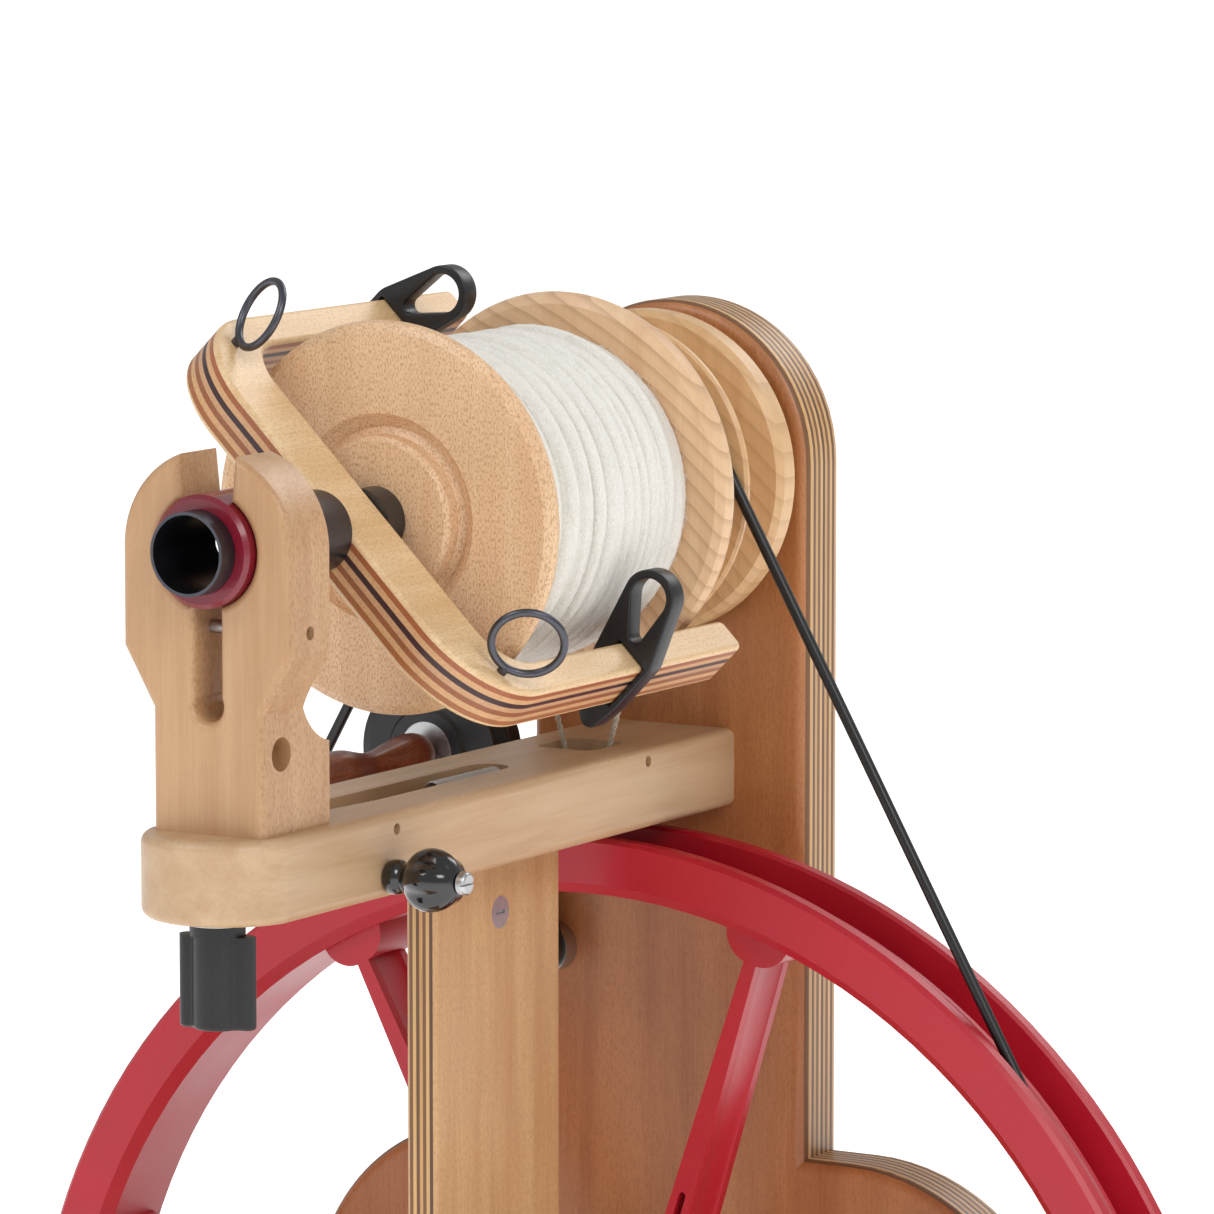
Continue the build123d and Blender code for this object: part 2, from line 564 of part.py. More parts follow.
CORD_FOOT = (5.6, BRAKE_PIN_Z - 6)
with BuildPart() as brake_cord:
    reach = sqrt(CORD_FOOT[0] ** 2 + (SHAFT_Z - CORD_FOOT[1]) ** 2)
    lean = atan2(CORD_FOOT[0], SHAFT_Z - CORD_FOOT[1]) + acos(BRAKE_ON_BOBBIN / reach)
    touch = (BRAKE_ON_BOBBIN * sin(lean), SHAFT_Z - BRAKE_ON_BOBBIN * cos(lean))
    with BuildLine(front_plane(BRAKE_Y)) as brake_path:
        rise = Line((-CORD_FOOT[0], CORD_FOOT[1]), (-touch[0], touch[1]))
        over = ThreePointArc(rise @ 1, (0, SHAFT_Z + BRAKE_ON_BOBBIN), (touch[0], touch[1]))
        Line((touch[0], touch[1]), CORD_FOOT)
    with BuildSketch(Plane(origin=brake_path.line @ 0, z_dir=brake_path.line % 0)):
        Circle(BRAKE_CORD_R)
    sweep()
save(brake_cord, "brake_cord")

# ---------------------------------------------------------------- drive band
with BuildPart() as drive_band:
    tilt = acos((BAND_ON_WHEEL - BAND_ON_WHORL) / (SHAFT_Z - HUB_Z))
    side_x = sin(tilt)
    side_z = cos(tilt)
    low = (BAND_ON_WHEEL * side_x, HUB_Z + BAND_ON_WHEEL * side_z)
    high = (BAND_ON_WHORL * side_x, SHAFT_Z + BAND_ON_WHORL * side_z)
    with BuildLine(front_plane(BAND_Y)) as band_path:
        Line(low, high)
        ThreePointArc(high, (0, SHAFT_Z + BAND_ON_WHORL), (-high[0], high[1]))
        Line((-high[0], high[1]), (-low[0], low[1]))
        ThreePointArc((-low[0], low[1]), (0, HUB_Z - BAND_ON_WHEEL), low)
    with BuildSketch(Plane(origin=band_path.line @ 0, z_dir=band_path.line % 0)):
        Circle(BAND_R)
    sweep()
save(drive_band, "drive_band")

# ---------------------------------------------------------------- drive wheel
HUB_R = 34.0
HUB_FRONT = RIM_Y + 3.0
HUB_BACK = RIM_Y + 30.0
WHEEL_BEARING_R = 14.0
WHEEL_BEARING_WIDE = 8.0
RIM_IN = 192.0
SPOKE_FRONT = RIM_Y + 6.0
SPOKE_DEEP = 22.0
SPOKE_RIM_HALF = 2.2
SPOKE_HUB_HALF = 5.2
SPOKE_SLOT_AT = 76.0
SPOKE_SLOT_LONG = 60.0
FLARE = 9.0
CRANK_PIN_R = 4.0
FRONT_GROOVE = BAND_Y
REAR_GROOVE = RIM_Y + RIM_WIDTH - (BAND_Y - RIM_Y)
with BuildPart() as drive_wheel:
    bottom_r = BAND_ON_WHEEL - BAND_R - SLACK
    half = [(195.5, RIM_Y), (208.6, RIM_Y), (RIM_R, RIM_Y + 1.4), (RIM_R, FRONT_GROOVE - 4.4),
            (209, FRONT_GROOVE - 3.4), (bottom_r + 1.2, FRONT_GROOVE - 2.2), (bottom_r, FRONT_GROOVE - 1.2),
            (bottom_r, FRONT_GROOVE + 1.2), (bottom_r + 1.2, FRONT_GROOVE + 2.3),
            (203.8, FRONT_GROOVE + 6.6), (204.6, FRONT_GROOVE + 7.4)]
    mirrored = [(r, 2 * RIM_Y + RIM_WIDTH - y) for r, y in reversed(half)]
    inner_wall = [(RIM_IN, RIM_Y + RIM_WIDTH - 3.5), (RIM_IN, RIM_Y + 3.5)]
    add(turned(half + mirrored + inner_wall, HUB_Z))
    add(turned([(WHEEL_BEARING_R - 3, HUB_FRONT), (HUB_R - 2, HUB_FRONT), (HUB_R, HUB_FRONT + 2),
                (HUB_R, HUB_BACK - 2), (HUB_R - 2, HUB_BACK), (WHEEL_BEARING_R - 3, HUB_BACK)], HUB_Z))
    for k in range(SPOKES):
        turn = radians(90 - FIRST_SPOKE + 360 / SPOKES * k)
        spoke_plane = Plane(origin=(0, SPOKE_FRONT, HUB_Z), x_dir=(cos(turn), 0, sin(turn)), z_dir=(0, -1, 0))
        with BuildSketch(spoke_plane):
            with BuildLine():
                flare_start = (RIM_IN - FLARE, SPOKE_RIM_HALF)
                flare_end = (RIM_IN + 1, SPOKE_RIM_HALF + FLARE)
                upper = Line((HUB_R - 3, SPOKE_HUB_HALF), flare_start)
                RadiusArc(flare_start, flare_end, FLARE + 1)
                Line(flare_end, (flare_end[0], -flare_end[1]))
                RadiusArc((flare_end[0], -flare_end[1]), (flare_start[0], -flare_start[1]), FLARE + 1)
                Polyline((flare_start[0], -flare_start[1]), (HUB_R - 3, -SPOKE_HUB_HALF), upper @ 0)
            make_face()
        extrude(amount=-SPOKE_DEEP)
        with BuildSketch(spoke_plane):
            with Locations((SPOKE_SLOT_AT, 0)):
                SlotOverall(SPOKE_SLOT_LONG, 2.4)
        extrude(amount=-6, mode=Mode.SUBTRACT)
        for flank in (1, -1):
            channel_start = spoke_plane.from_local_coords((HUB_R * 1.5, flank * SPOKE_HUB_HALF,
                                                           -SPOKE_DEEP / 2))
            channel_end = spoke_plane.from_local_coords((RIM_IN - 4, flank * (SPOKE_RIM_HALF + 0.4),
                                                         -SPOKE_DEEP / 2))
            run = channel_end - channel_start
            with BuildSketch(Plane(origin=channel_start, x_dir=(0, 1, 0), z_dir=run)):
                Ellipse(8.0, 1.7)
            extrude(amount=run.length, mode=Mode.SUBTRACT)
    with Locations(front_plane(HUB_FRONT, z=HUB_Z), front_plane(HUB_BACK - WHEEL_BEARING_WIDE, z=HUB_Z)):
        Cylinder(WHEEL_BEARING_R, WHEEL_BEARING_WIDE, align=(Align.CENTER, Align.CENTER, Align.MAX),
                 mode=Mode.SUBTRACT)
    with Locations(front_plane(HUB_FRONT, CRANK_R, HUB_Z), front_plane(HUB_BACK - 14, -CRANK_R, HUB_Z)):
        Cylinder(CRANK_PIN_R, 14, align=(Align.CENTER, Align.CENTER, Align.MAX), mode=Mode.SUBTRACT)
save(drive_wheel, "drive_wheel")

with BuildPart() as wheel_bearings:
    add(tube(WHEEL_BEARING_R, AXLE_R + RUNNING, HUB_FRONT, WHEEL_BEARING_WIDE, HUB_Z))
    add(tube(WHEEL_BEARING_R, AXLE_R + RUNNING, HUB_BACK - WHEEL_BEARING_WIDE, WHEEL_BEARING_WIDE, HUB_Z))
save(wheel_bearings, "wheel_bearings")

FRONT_PIN_END = RIM_Y - 8.0
REAR_PIN_END = RIM_Y + 38.2
with BuildPart() as crank_pins:
    add(turned([(0, FRONT_PIN_END), (CRANK_PIN_R - 0.8, FRONT_PIN_END), (CRANK_PIN_R, FRONT_PIN_END + 0.8),
                (CRANK_PIN_R, HUB_FRONT - 1.6), (CRANK_PIN_R + 3, HUB_FRONT - 1.6),
                (CRANK_PIN_R + 3, HUB_FRONT), (CRANK_PIN_R, HUB_FRONT),
                (CRANK_PIN_R, HUB_FRONT + 14), (0, HUB_FRONT + 14)], HUB_Z, CRANK_R))
    add(turned([(0, HUB_BACK - 14), (CRANK_PIN_R, HUB_BACK - 14), (CRANK_PIN_R, HUB_BACK),
                (CRANK_PIN_R + 3, HUB_BACK), (CRANK_PIN_R + 3, HUB_BACK + 1.6), (CRANK_PIN_R, HUB_BACK + 1.6),
                (CRANK_PIN_R, REAR_PIN_END - 0.8), (CRANK_PIN_R - 0.8, REAR_PIN_END), (0, REAR_PIN_END)],
               HUB_Z, -CRANK_R))
save(crank_pins, "crank_pins")

PANEL_BACK = PANEL_FRONT + PANEL_THICK
with BuildPart() as axle_bolt:
    with BuildSketch(front_plane(HUB_FRONT - SLACK, z=HUB_Z)):
        RegularPolygon(9.5, 6)
    extrude(amount=6)
    with BuildSketch(front_plane(HUB_FRONT - SLACK, z=HUB_Z)):
        Circle(AXLE_R)
    extrude(amount=-(PANEL_BACK + 13 - HUB_FRONT))
save(axle_bolt, "axle_bolt")

with BuildPart() as axle_spacer:
    add(tube(9, AXLE_R, HUB_BACK + SLACK, PANEL_FRONT - HUB_BACK - SLACK, HUB_Z))
save(axle_spacer, "axle_spacer")

with BuildPart() as axle_nut:
    with BuildSketch(front_plane(PANEL_BACK, z=HUB_Z)):
        Circle(14)
        Circle(AXLE_R, mode=Mode.SUBTRACT)
    extrude(amount=-2)
    with BuildSketch(front_plane(PANEL_BACK + 2, z=HUB_Z)):
        RegularPolygon(10.5, 6)
        Circle(AXLE_R, mode=Mode.SUBTRACT)
    extrude(amount=-10)
save(axle_nut, "axle_nut")

with BuildPart() as rear_bolts:
    bolt_z = BAR_BOTTOM_Z + BAR_DEEP / 2
    with BuildSketch(front_plane(PANEL_BACK)):
        with Locations((-REAR_BOLT_X, bolt_z), (REAR_BOLT_X, bolt_z)):
            Circle(REAR_BOLT_R)
    extrude(amount=PANEL_THICK)
    with BuildSketch(front_plane(PANEL_BACK)):
        with Locations((-REAR_BOLT_X, bolt_z), (REAR_BOLT_X, bolt_z)):
            Circle(5.5)
    extrude(amount=-3.2)
    fillet(rear_bolts.edges().group_by(Axis.Y)[-1], 1.6)
save(rear_bolts, "rear_bolts")

# ---------------------------------------------------------------- knobs
with BuildPart() as tension_knob:
    shaft_in = SLOT_WIDE / 2 + 3
    with BuildSketch(side_plane(-shaft_in, TENSION_Y, TENSION_Z)):
        Circle(TENSION_SHAFT_R)
    extrude(amount=shaft_in + BAR_HALF + 2)
    with BuildSketch(level(TENSION_Z)):
        with BuildLine():
            knob = [(BAR_HALF + SLACK, 0), (BAR_HALF + SLACK, 4.8), (BAR_HALF + 4, 4.8), (BAR_HALF + 7, 8.2),
                    (BAR_HALF + 11, 9.6), (BAR_HALF + 19, 9.4), (BAR_HALF + 23, 7.4), (BAR_HALF + 24.4, 5),
                    (BAR_HALF + 24.4, 0)]
            Polyline(*[(x, TENSION_Y + r) for x, r in knob], close=True)
        make_face()
    revolve(axis=Axis((0, TENSION_Y, TENSION_Z), (1, 0, 0)))
save(tension_knob, "tension_knob")

with BuildPart() as tension_screw:
    with BuildSketch(side_plane(BAR_HALF + 24.4, TENSION_Y, TENSION_Z)):
        Circle(3.4)
    extrude(amount=2.6)
    fillet(tension_screw.edges().group_by(Axis.X)[-1], 1.0)
    with BuildSketch(side_plane(BAR_HALF + 27, TENSION_Y, TENSION_Z)):
        Rectangle(7, 0.9)
    extrude(amount=-1, mode=Mode.SUBTRACT)
save(tension_screw, "tension_screw")

with BuildPart() as wing_washer:
    with BuildSketch(level(BAR_BOTTOM_Z)):
        with Locations((0, WING_Y)):
            Circle(9)
            Circle(WING_STUD_R + RUNNING, mode=Mode.SUBTRACT)
    extrude(amount=-1.6)
save(wing_washer, "wing_washer")

WING_TOP = BAR_BOTTOM_Z - 1.6 - SLACK
WING_BOTTOM = HUB_Z + 183.0
with BuildPart() as wing_knob:
    with BuildSketch(level(WING_BOTTOM)) as wings:
        with Locations((0, WING_Y)):
            Circle(7.2)
            SlotOverall(23.4, 6.0, rotation=8)
        fillet([v for v in wings.vertices() if abs(v.X) < 8 and abs(v.X) > 5], 1.6)
    extrude(amount=WING_TOP - WING_BOTTOM - 3)
    fillet(wing_knob.edges().group_by(Axis.Z)[0], 1.0)
    with BuildSketch(level(WING_TOP)):
        with Locations((0, WING_Y)):
            Circle(8)
    extrude(amount=-3)
    with BuildSketch(level(WING_TOP)):
        with Locations((0, WING_Y)):
            Circle(WING_STUD_R)
    extrude(amount=-14, mode=Mode.SUBTRACT)
save(wing_knob, "wing_knob")

with BuildPart() as wing_stud:
    with BuildSketch(level(WING_TOP - 14)):
        with Locations((0, WING_Y)):
            Circle(WING_STUD_R)
    extrude(amount=BAR_TOP_Z + 13 - WING_TOP + 14)
save(wing_stud, "wing_stud")

# ---------------------------------------------------------------- band idler
IDLER_R = 24.0
IDLER_AXLE_R = 3.0
IDLER_BEARING_R = 9.5
ARM_FRONT = RIM_Y + 38.4
ARM_THICK = 6.6
ARM_TOP_R = 9.0
ARM_FOOT_R = 7.4
with BuildPart() as idler_arm:
    with BuildSketch(front_plane(ARM_FRONT)):
        with Locations((IDLER_X, IDLER_Z)):
            Circle(ARM_TOP_R)
        with Locations((IDLER_PIVOT_X, IDLER_PIVOT_Z)):
            Circle(ARM_FOOT_R)
        make_hull()
        with Locations((IDLER_X, IDLER_Z)):
            Circle(IDLER_AXLE_R, mode=Mode.SUBTRACT)
        with Locations((IDLER_PIVOT_X, IDLER_PIVOT_Z)):
            Circle(PIVOT_BOLT_R + RUNNING, mode=Mode.SUBTRACT)
    extrude(amount=-ARM_THICK)
    fillet(idler_arm.faces().sort_by(Axis.Y)[0].outer_wire().edges(), 1.2)
save(idler_arm, "idler_arm")

with BuildPart() as idler_axle:
    add(turned([(0, RIM_Y - 12), (IDLER_AXLE_R, RIM_Y - 12), (IDLER_AXLE_R, RIM_Y + 17.6),
                (5, RIM_Y + 17.6), (5, ARM_FRONT), (IDLER_AXLE_R, ARM_FRONT),
                (IDLER_AXLE_R, ARM_FRONT + ARM_THICK), (0, ARM_FRONT + ARM_THICK)], IDLER_Z, IDLER_X))
save(idler_axle, "idler_axle")

HANDLE_BACK = RIM_Y + 1.6
with BuildPart() as idler_handle:
    with BuildSketch(level(IDLER_Z)):
        with BuildLine():
            profile = Spline((IDLER_X + 4.0, HANDLE_BACK), (IDLER_X + 7.0, HANDLE_BACK - 8.5),
                             (IDLER_X + 4.2, HANDLE_BACK - 34), (IDLER_X + 6.8, HANDLE_BACK - 50),
                             (IDLER_X + 4.8, HANDLE_BACK - 72), (IDLER_X, HANDLE_BACK - 80),
                             tangents=[(1, -0.6), (-1, 0)])
            Polyline(profile @ 1, (IDLER_X, RIM_Y - 12), (IDLER_X + IDLER_AXLE_R, RIM_Y - 12),
                     (IDLER_X + IDLER_AXLE_R, HANDLE_BACK), profile @ 0)
        make_face()
    revolve(axis=deep_axis(IDLER_Z, IDLER_X))
save(idler_handle, "idler_handle")

with BuildPart() as idler_pulley:
    add(turned([(IDLER_BEARING_R, RIM_Y + 3), (13, RIM_Y + 3), (14, RIM_Y + 4), (21, RIM_Y + 4),
                (IDLER_R, RIM_Y + 4.8), (IDLER_R, RIM_Y + 6.2), (20.6, BAND_Y - 0.8), (20.6, BAND_Y + 0.8),
                (IDLER_R, RIM_Y + 13), (IDLER_R, RIM_Y + 14.4), (21, RIM_Y + 15.2), (14, RIM_Y + 15.2),
                (13, RIM_Y + 16.2), (IDLER_BEARING_R, RIM_Y + 16.2)], IDLER_Z, IDLER_X))
save(idler_pulley, "idler_pulley")

with BuildPart() as idler_bearing:
    add(tube(IDLER_BEARING_R, IDLER_AXLE_R + RUNNING, RIM_Y + 3.4, 12.4, IDLER_Z, IDLER_X))
save(idler_bearing, "idler_bearing")

with BuildPart() as idler_pivot_bolt:
    add(turned([(0, ARM_FRONT - 3.6), (5.4, ARM_FRONT - 3.6), (6.8, ARM_FRONT - 2.2),
                (6.8, ARM_FRONT - SLACK),
                (PIVOT_BOLT_R, ARM_FRONT - SLACK), (PIVOT_BOLT_R, PANEL_FRONT + 14),
                (0, PANEL_FRONT + 14)], IDLER_PIVOT_Z, IDLER_PIVOT_X))
save(idler_pivot_bolt, "idler_pivot_bolt")

with BuildPart() as idler_pivot_spacer:
    spacer_start = ARM_FRONT + ARM_THICK + SLACK
    add(tube(8, PIVOT_BOLT_R, spacer_start, PANEL_FRONT - spacer_start, IDLER_PIVOT_Z, IDLER_PIVOT_X))
save(idler_pivot_spacer, "idler_pivot_spacer")

# ---------------------------------------------------------------- treadles
TREADLE_FRONT = RIM_Y - 279.0
FORK_HALF = FOOTMAN_WIDE / 2 + 0.6
EYE_BOSS_R = 7.0
FOOTMAN_PIN_R = 3.0
TOE_HALF = 16.0
TREADLES = (("left", -1, REAR_FOOTMAN_Y, RIM_Y + 50.4), ("right", 1, FRONT_FOOTMAN_Y, RIM_Y + 2.0))
for name, side, eye_y, toe_y in TREADLES:
    with BuildPart() as treadle:
        with BuildSketch(level(TREADLE_Z - TREADLE_THICK / 2)) as board:
            toe_out = CRANK_R + TOE_HALF
            with BuildLine():
                Polyline((side * TREADLE_IN, TREADLE_FRONT), (side * TREADLE_OUT, TREADLE_FRONT),
                         (side * TREADLE_OUT, RIM_Y - 90), (side * toe_out, eye_y - 30),
                         (side * toe_out, toe_y), (side * TREADLE_IN, toe_y), close=True)
            make_face()
            fillet([v for v in board.vertices() if abs(v.X) > toe_out - 1], 12)
            with Locations((side * CRANK_R, eye_y)):
                RectangleRounded(2 * FORK_HALF, 2 * EYE_BOSS_R + 2, 1.5, mode=Mode.SUBTRACT)
        extrude(amount=TREADLE_THICK)
        top_rim = treadle.edges().group_by(Axis.Z)[-1]
        chamfer([e for e in top_rim if abs(e.center().X) > toe_out + 1], 1.5)
        with Locations(side_plane(side * (TREADLE_IN + TREADLE_OUT) / 2, TREADLE_HINGE_Y, TREADLE_Z)):
            Cylinder(HINGE_PIN_R + RUNNING, TREADLE_OUT - TREADLE_IN + 2, mode=Mode.SUBTRACT)
        with Locations(side_plane(side * CRANK_R, eye_y, TREADLE_Z)):
            Cylinder(FOOTMAN_PIN_R, 2 * FORK_HALF + 8, mode=Mode.SUBTRACT)
    save(treadle, f"{name}_treadle")

for name, side, eye_y, toe_y in TREADLES:
    with BuildPart() as footman_pin:
        with Locations(side_plane(side * CRANK_R, eye_y, TREADLE_Z)):
            Cylinder(FOOTMAN_PIN_R, 2 * FORK_HALF + 8)
    save(footman_pin, f"{name}_footman_pin")

for name, side, eye_y, toe_y in TREADLES:
    with BuildPart() as footman:
        with BuildSketch(front_plane(eye_y - FOOTMAN_THICK / 2, side * CRANK_R)):
            with Locations((0, (TREADLE_Z + HUB_Z) / 2)):
                Rectangle(FOOTMAN_WIDE - 3, HUB_Z - TREADLE_Z)
            with Locations((0, HUB_Z)):
                Circle(FOOTMAN_WIDE / 2 + 1.5)
                Circle(CRANK_PIN_R + 0.4, mode=Mode.SUBTRACT)
        extrude(amount=-FOOTMAN_THICK)
        with Locations(side_plane(side * CRANK_R, eye_y, TREADLE_Z)):
            Cylinder(EYE_BOSS_R, FOOTMAN_WIDE)
            Cylinder(FOOTMAN_PIN_R + RUNNING, FOOTMAN_WIDE, mode=Mode.SUBTRACT)
    save(footman, f"{name}_footman")

EAR_THICK = 4.6
EAR_XS = [side * (x + EAR_THICK / 2) for side in (-1, 1)
          for x in (TREADLE_IN - 0.5 - EAR_THICK, TREADLE_OUT + 0.5)]
with BuildPart() as hinge_brackets:
    for x in EAR_XS:
        with BuildSketch(side_plane(x - EAR_THICK / 2, TREADLE_HINGE_Y)):
            with Locations((0, TREADLE_Z)):
                Circle(9)
            with Locations((0, BEAM_TOP + 2)):
                Rectangle(30, 4)
            make_hull()
            with Locations((0, TREADLE_Z)):
                Circle(HINGE_PIN_R, mode=Mode.SUBTRACT)
        extrude(amount=EAR_THICK)
save(hinge_brackets, "hinge_brackets")

with BuildPart() as hinge_pins:
    for side in (-1, 1):
        middle = side * (TREADLE_IN + TREADLE_OUT) / 2
        with Locations(side_plane(middle, TREADLE_HINGE_Y, TREADLE_Z)):
            Cylinder(HINGE_PIN_R, TREADLE_OUT - TREADLE_IN + 2 * EAR_THICK + 5)
save(hinge_pins, "hinge_pins")
print("lean of the band's straight runs", round(90 - degrees(tilt), 1))
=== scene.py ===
"""Looks of an upright spinning wheel: timber, moulded and steel finishes, wound wool and the brake's cord.

Everything is in metres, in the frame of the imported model: +Z up, the spinner on the -Y side, axles along Y.
"""
import json
import logging
import math
import random
from dataclasses import dataclass
from enum import Enum

import bpy
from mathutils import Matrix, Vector


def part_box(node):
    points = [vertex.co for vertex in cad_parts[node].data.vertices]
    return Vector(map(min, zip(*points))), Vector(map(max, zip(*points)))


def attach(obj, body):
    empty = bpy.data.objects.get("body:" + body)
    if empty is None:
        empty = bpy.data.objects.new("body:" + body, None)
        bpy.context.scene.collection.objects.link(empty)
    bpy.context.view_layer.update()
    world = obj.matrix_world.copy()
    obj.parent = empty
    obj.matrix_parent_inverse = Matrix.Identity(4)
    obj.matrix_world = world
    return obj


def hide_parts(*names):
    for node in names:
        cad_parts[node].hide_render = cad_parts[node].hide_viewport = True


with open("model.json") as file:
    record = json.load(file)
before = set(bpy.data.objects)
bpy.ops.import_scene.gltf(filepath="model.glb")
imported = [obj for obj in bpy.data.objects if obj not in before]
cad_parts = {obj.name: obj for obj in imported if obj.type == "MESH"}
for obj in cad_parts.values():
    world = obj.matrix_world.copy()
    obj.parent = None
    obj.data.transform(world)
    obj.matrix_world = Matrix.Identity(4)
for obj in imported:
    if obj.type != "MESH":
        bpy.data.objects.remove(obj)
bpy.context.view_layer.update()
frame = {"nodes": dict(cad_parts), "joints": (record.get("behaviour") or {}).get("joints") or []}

MM = 0.001
log = logging.getLogger("spinning_wheel")


# ---------------------------------------------------------------- small helpers
def deselect_all() -> None:
    """Leave nothing selected, so that the next operator acts on one piece only."""
    bpy.ops.object.select_all(action="DESELECT")


def linear(hex_colour: str) -> tuple[float, float, float, float]:
    """Turn an sRGB hex colour into linear light.

    Args:
        hex_colour: Colour such as "#D9B98C".

    Returns:
        Linear red, green, blue and an alpha of 1.
    """
    values = [int(hex_colour[i:i + 2], 16) / 255 for i in (1, 3, 5)]
    red, green, blue = [v / 12.92 if v <= 0.04045 else ((v + 0.055) / 1.055) ** 2.4 for v in values]
    return red, green, blue, 1.0


def add_node(tree: bpy.types.NodeTree, kind: str, settings: dict | None = None,
             links: dict | None = None) -> bpy.types.Node:
    """Add a shader node with its settings and incoming links.

    Args:
        tree: Node tree that receives the node.
        kind: Blender's name of the node type.
        settings: Socket names or numbers, or properties, with their values.
        links: Socket names or numbers with the output each is fed from.

    Returns:
        The new node.
    """
    node = tree.nodes.new(kind)
    for key, value in (settings or {}).items():
        if isinstance(key, str) and hasattr(node, key):
            setattr(node, key, value)
        else:
            node.inputs[key].default_value = value
    for key, source in (links or {}).items():
        tree.links.new(source, node.inputs[key])
    return node


def new_material(name: str) -> tuple[bpy.types.Material, bpy.types.NodeTree, bpy.types.Node]:
    """Make an empty material with a principled shader.

    Args:
        name: Plain name of the finish.

    Returns:
        The material, its node tree and its shader.
    """
    material = bpy.data.materials.new(name)
    material.use_nodes = True
    tree = material.node_tree
    tree.nodes.clear()
    shader = add_node(tree, "ShaderNodeBsdfPrincipled")
    add_node(tree, "ShaderNodeOutputMaterial", links={"Surface": shader.outputs["BSDF"]})
    return material, tree, shader


def ramp(tree: bpy.types.NodeTree, source: bpy.types.NodeSocket,
         stops: list[tuple[float, tuple[float, float, float, float]]],
         stepped: bool = False) -> bpy.types.NodeSocket:
    """Colour ramp over a value.

    Args:
        tree: Node tree that receives the ramp.
        source: Value that is looked up.
        stops: Positions from 0 to 1 with linear colours.
        stepped: Whether each colour holds up to the next stop.

    Returns:
        The ramp's colour output.
    """
    node = add_node(tree, "ShaderNodeValToRGB", links={"Fac": source})
    band = node.color_ramp
    band.interpolation = "CONSTANT" if stepped else "LINEAR"
    while len(band.elements) > 1:
        band.elements.remove(band.elements[-1])
    band.elements[0].position, band.elements[0].color = stops[0]
    for position, colour in stops[1:]:
        band.elements.new(position).color = colour
    return node.outputs["Color"]


def grey(value: float) -> tuple[float, float, float, float]:
    """Linear grey of one value."""
    return value, value, value, 1.0


def dress(material: bpy.types.Material, *nodes: str) -> None:
    """Give CAD nodes a material.

    Args:
        material: Finish to assign.
        nodes: Names of the CAD nodes that wear it.
    """
    for name in nodes:
        mesh = frame["nodes"][name].data
        mesh.materials.clear()
        mesh.materials.append(material)
        log.info("dressed %s in %s", name, material.name)


def joint_place(name: str) -> list[float]:
    """Place of a joint at rest, in metres."""
    return next(joint for joint in frame["joints"] if joint["name"] == name)["pos_m"]


def pick(piece: bpy.types.Object) -> None:
    """Select one piece only and make it the active one."""
    deselect_all()
    piece.select_set(True)
    bpy.context.view_layer.objects.active = piece


def strand(name: str, routes: list[list[Vector]], radius: float, body: str,
           material: bpy.types.Material, sides: int = 3, closed: bool = False,
           widths: list[float] | None = None) -> bpy.types.Object:
    """Round strands that follow given points, as one mesh.

    Args:
        name: Name of the piece.
        routes: Points of each strand, in metres.
        radius: Radius of a strand.
        body: CAD body that the piece rides on.
        material: Finish of the strands.
        sides: Bevel resolution, which gives 2 * sides + 2 facets round the strand.
        closed: Whether each strand closes on itself.
        widths: Factors on the radius that each strand runs through in turn, or none.

    Returns:
        The finished piece.
    """
    curve = bpy.data.curves.new(name, "CURVE")
    curve.dimensions = "3D"
    curve.bevel_depth = radius
    curve.bevel_resolution = sides - 1
    curve.use_fill_caps = not closed
    for route in routes:
        spline = curve.splines.new("POLY")
        spline.points.add(len(route) - 1)
        for point, place in zip(spline.points, route):
            point.co = (*place, 1.0)
        if widths:
            for k, point in enumerate(spline.points):
                point.radius = widths[k % len(widths)]
        spline.use_cyclic_u = closed
    piece = bpy.data.objects.new(name, curve)
    bpy.context.scene.collection.objects.link(piece)
    pick(piece)
    bpy.ops.object.convert(target="MESH")
    bpy.ops.object.shade_smooth()
    piece.data.materials.clear()
    piece.data.materials.append(material)
    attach(piece, body)
    return piece


# ---------------------------------------------------------------- timber
class Grain(Enum):
    """Row axis that the fibres run along."""

    ACROSS = 0
    DEEP = 1
    UP = 2


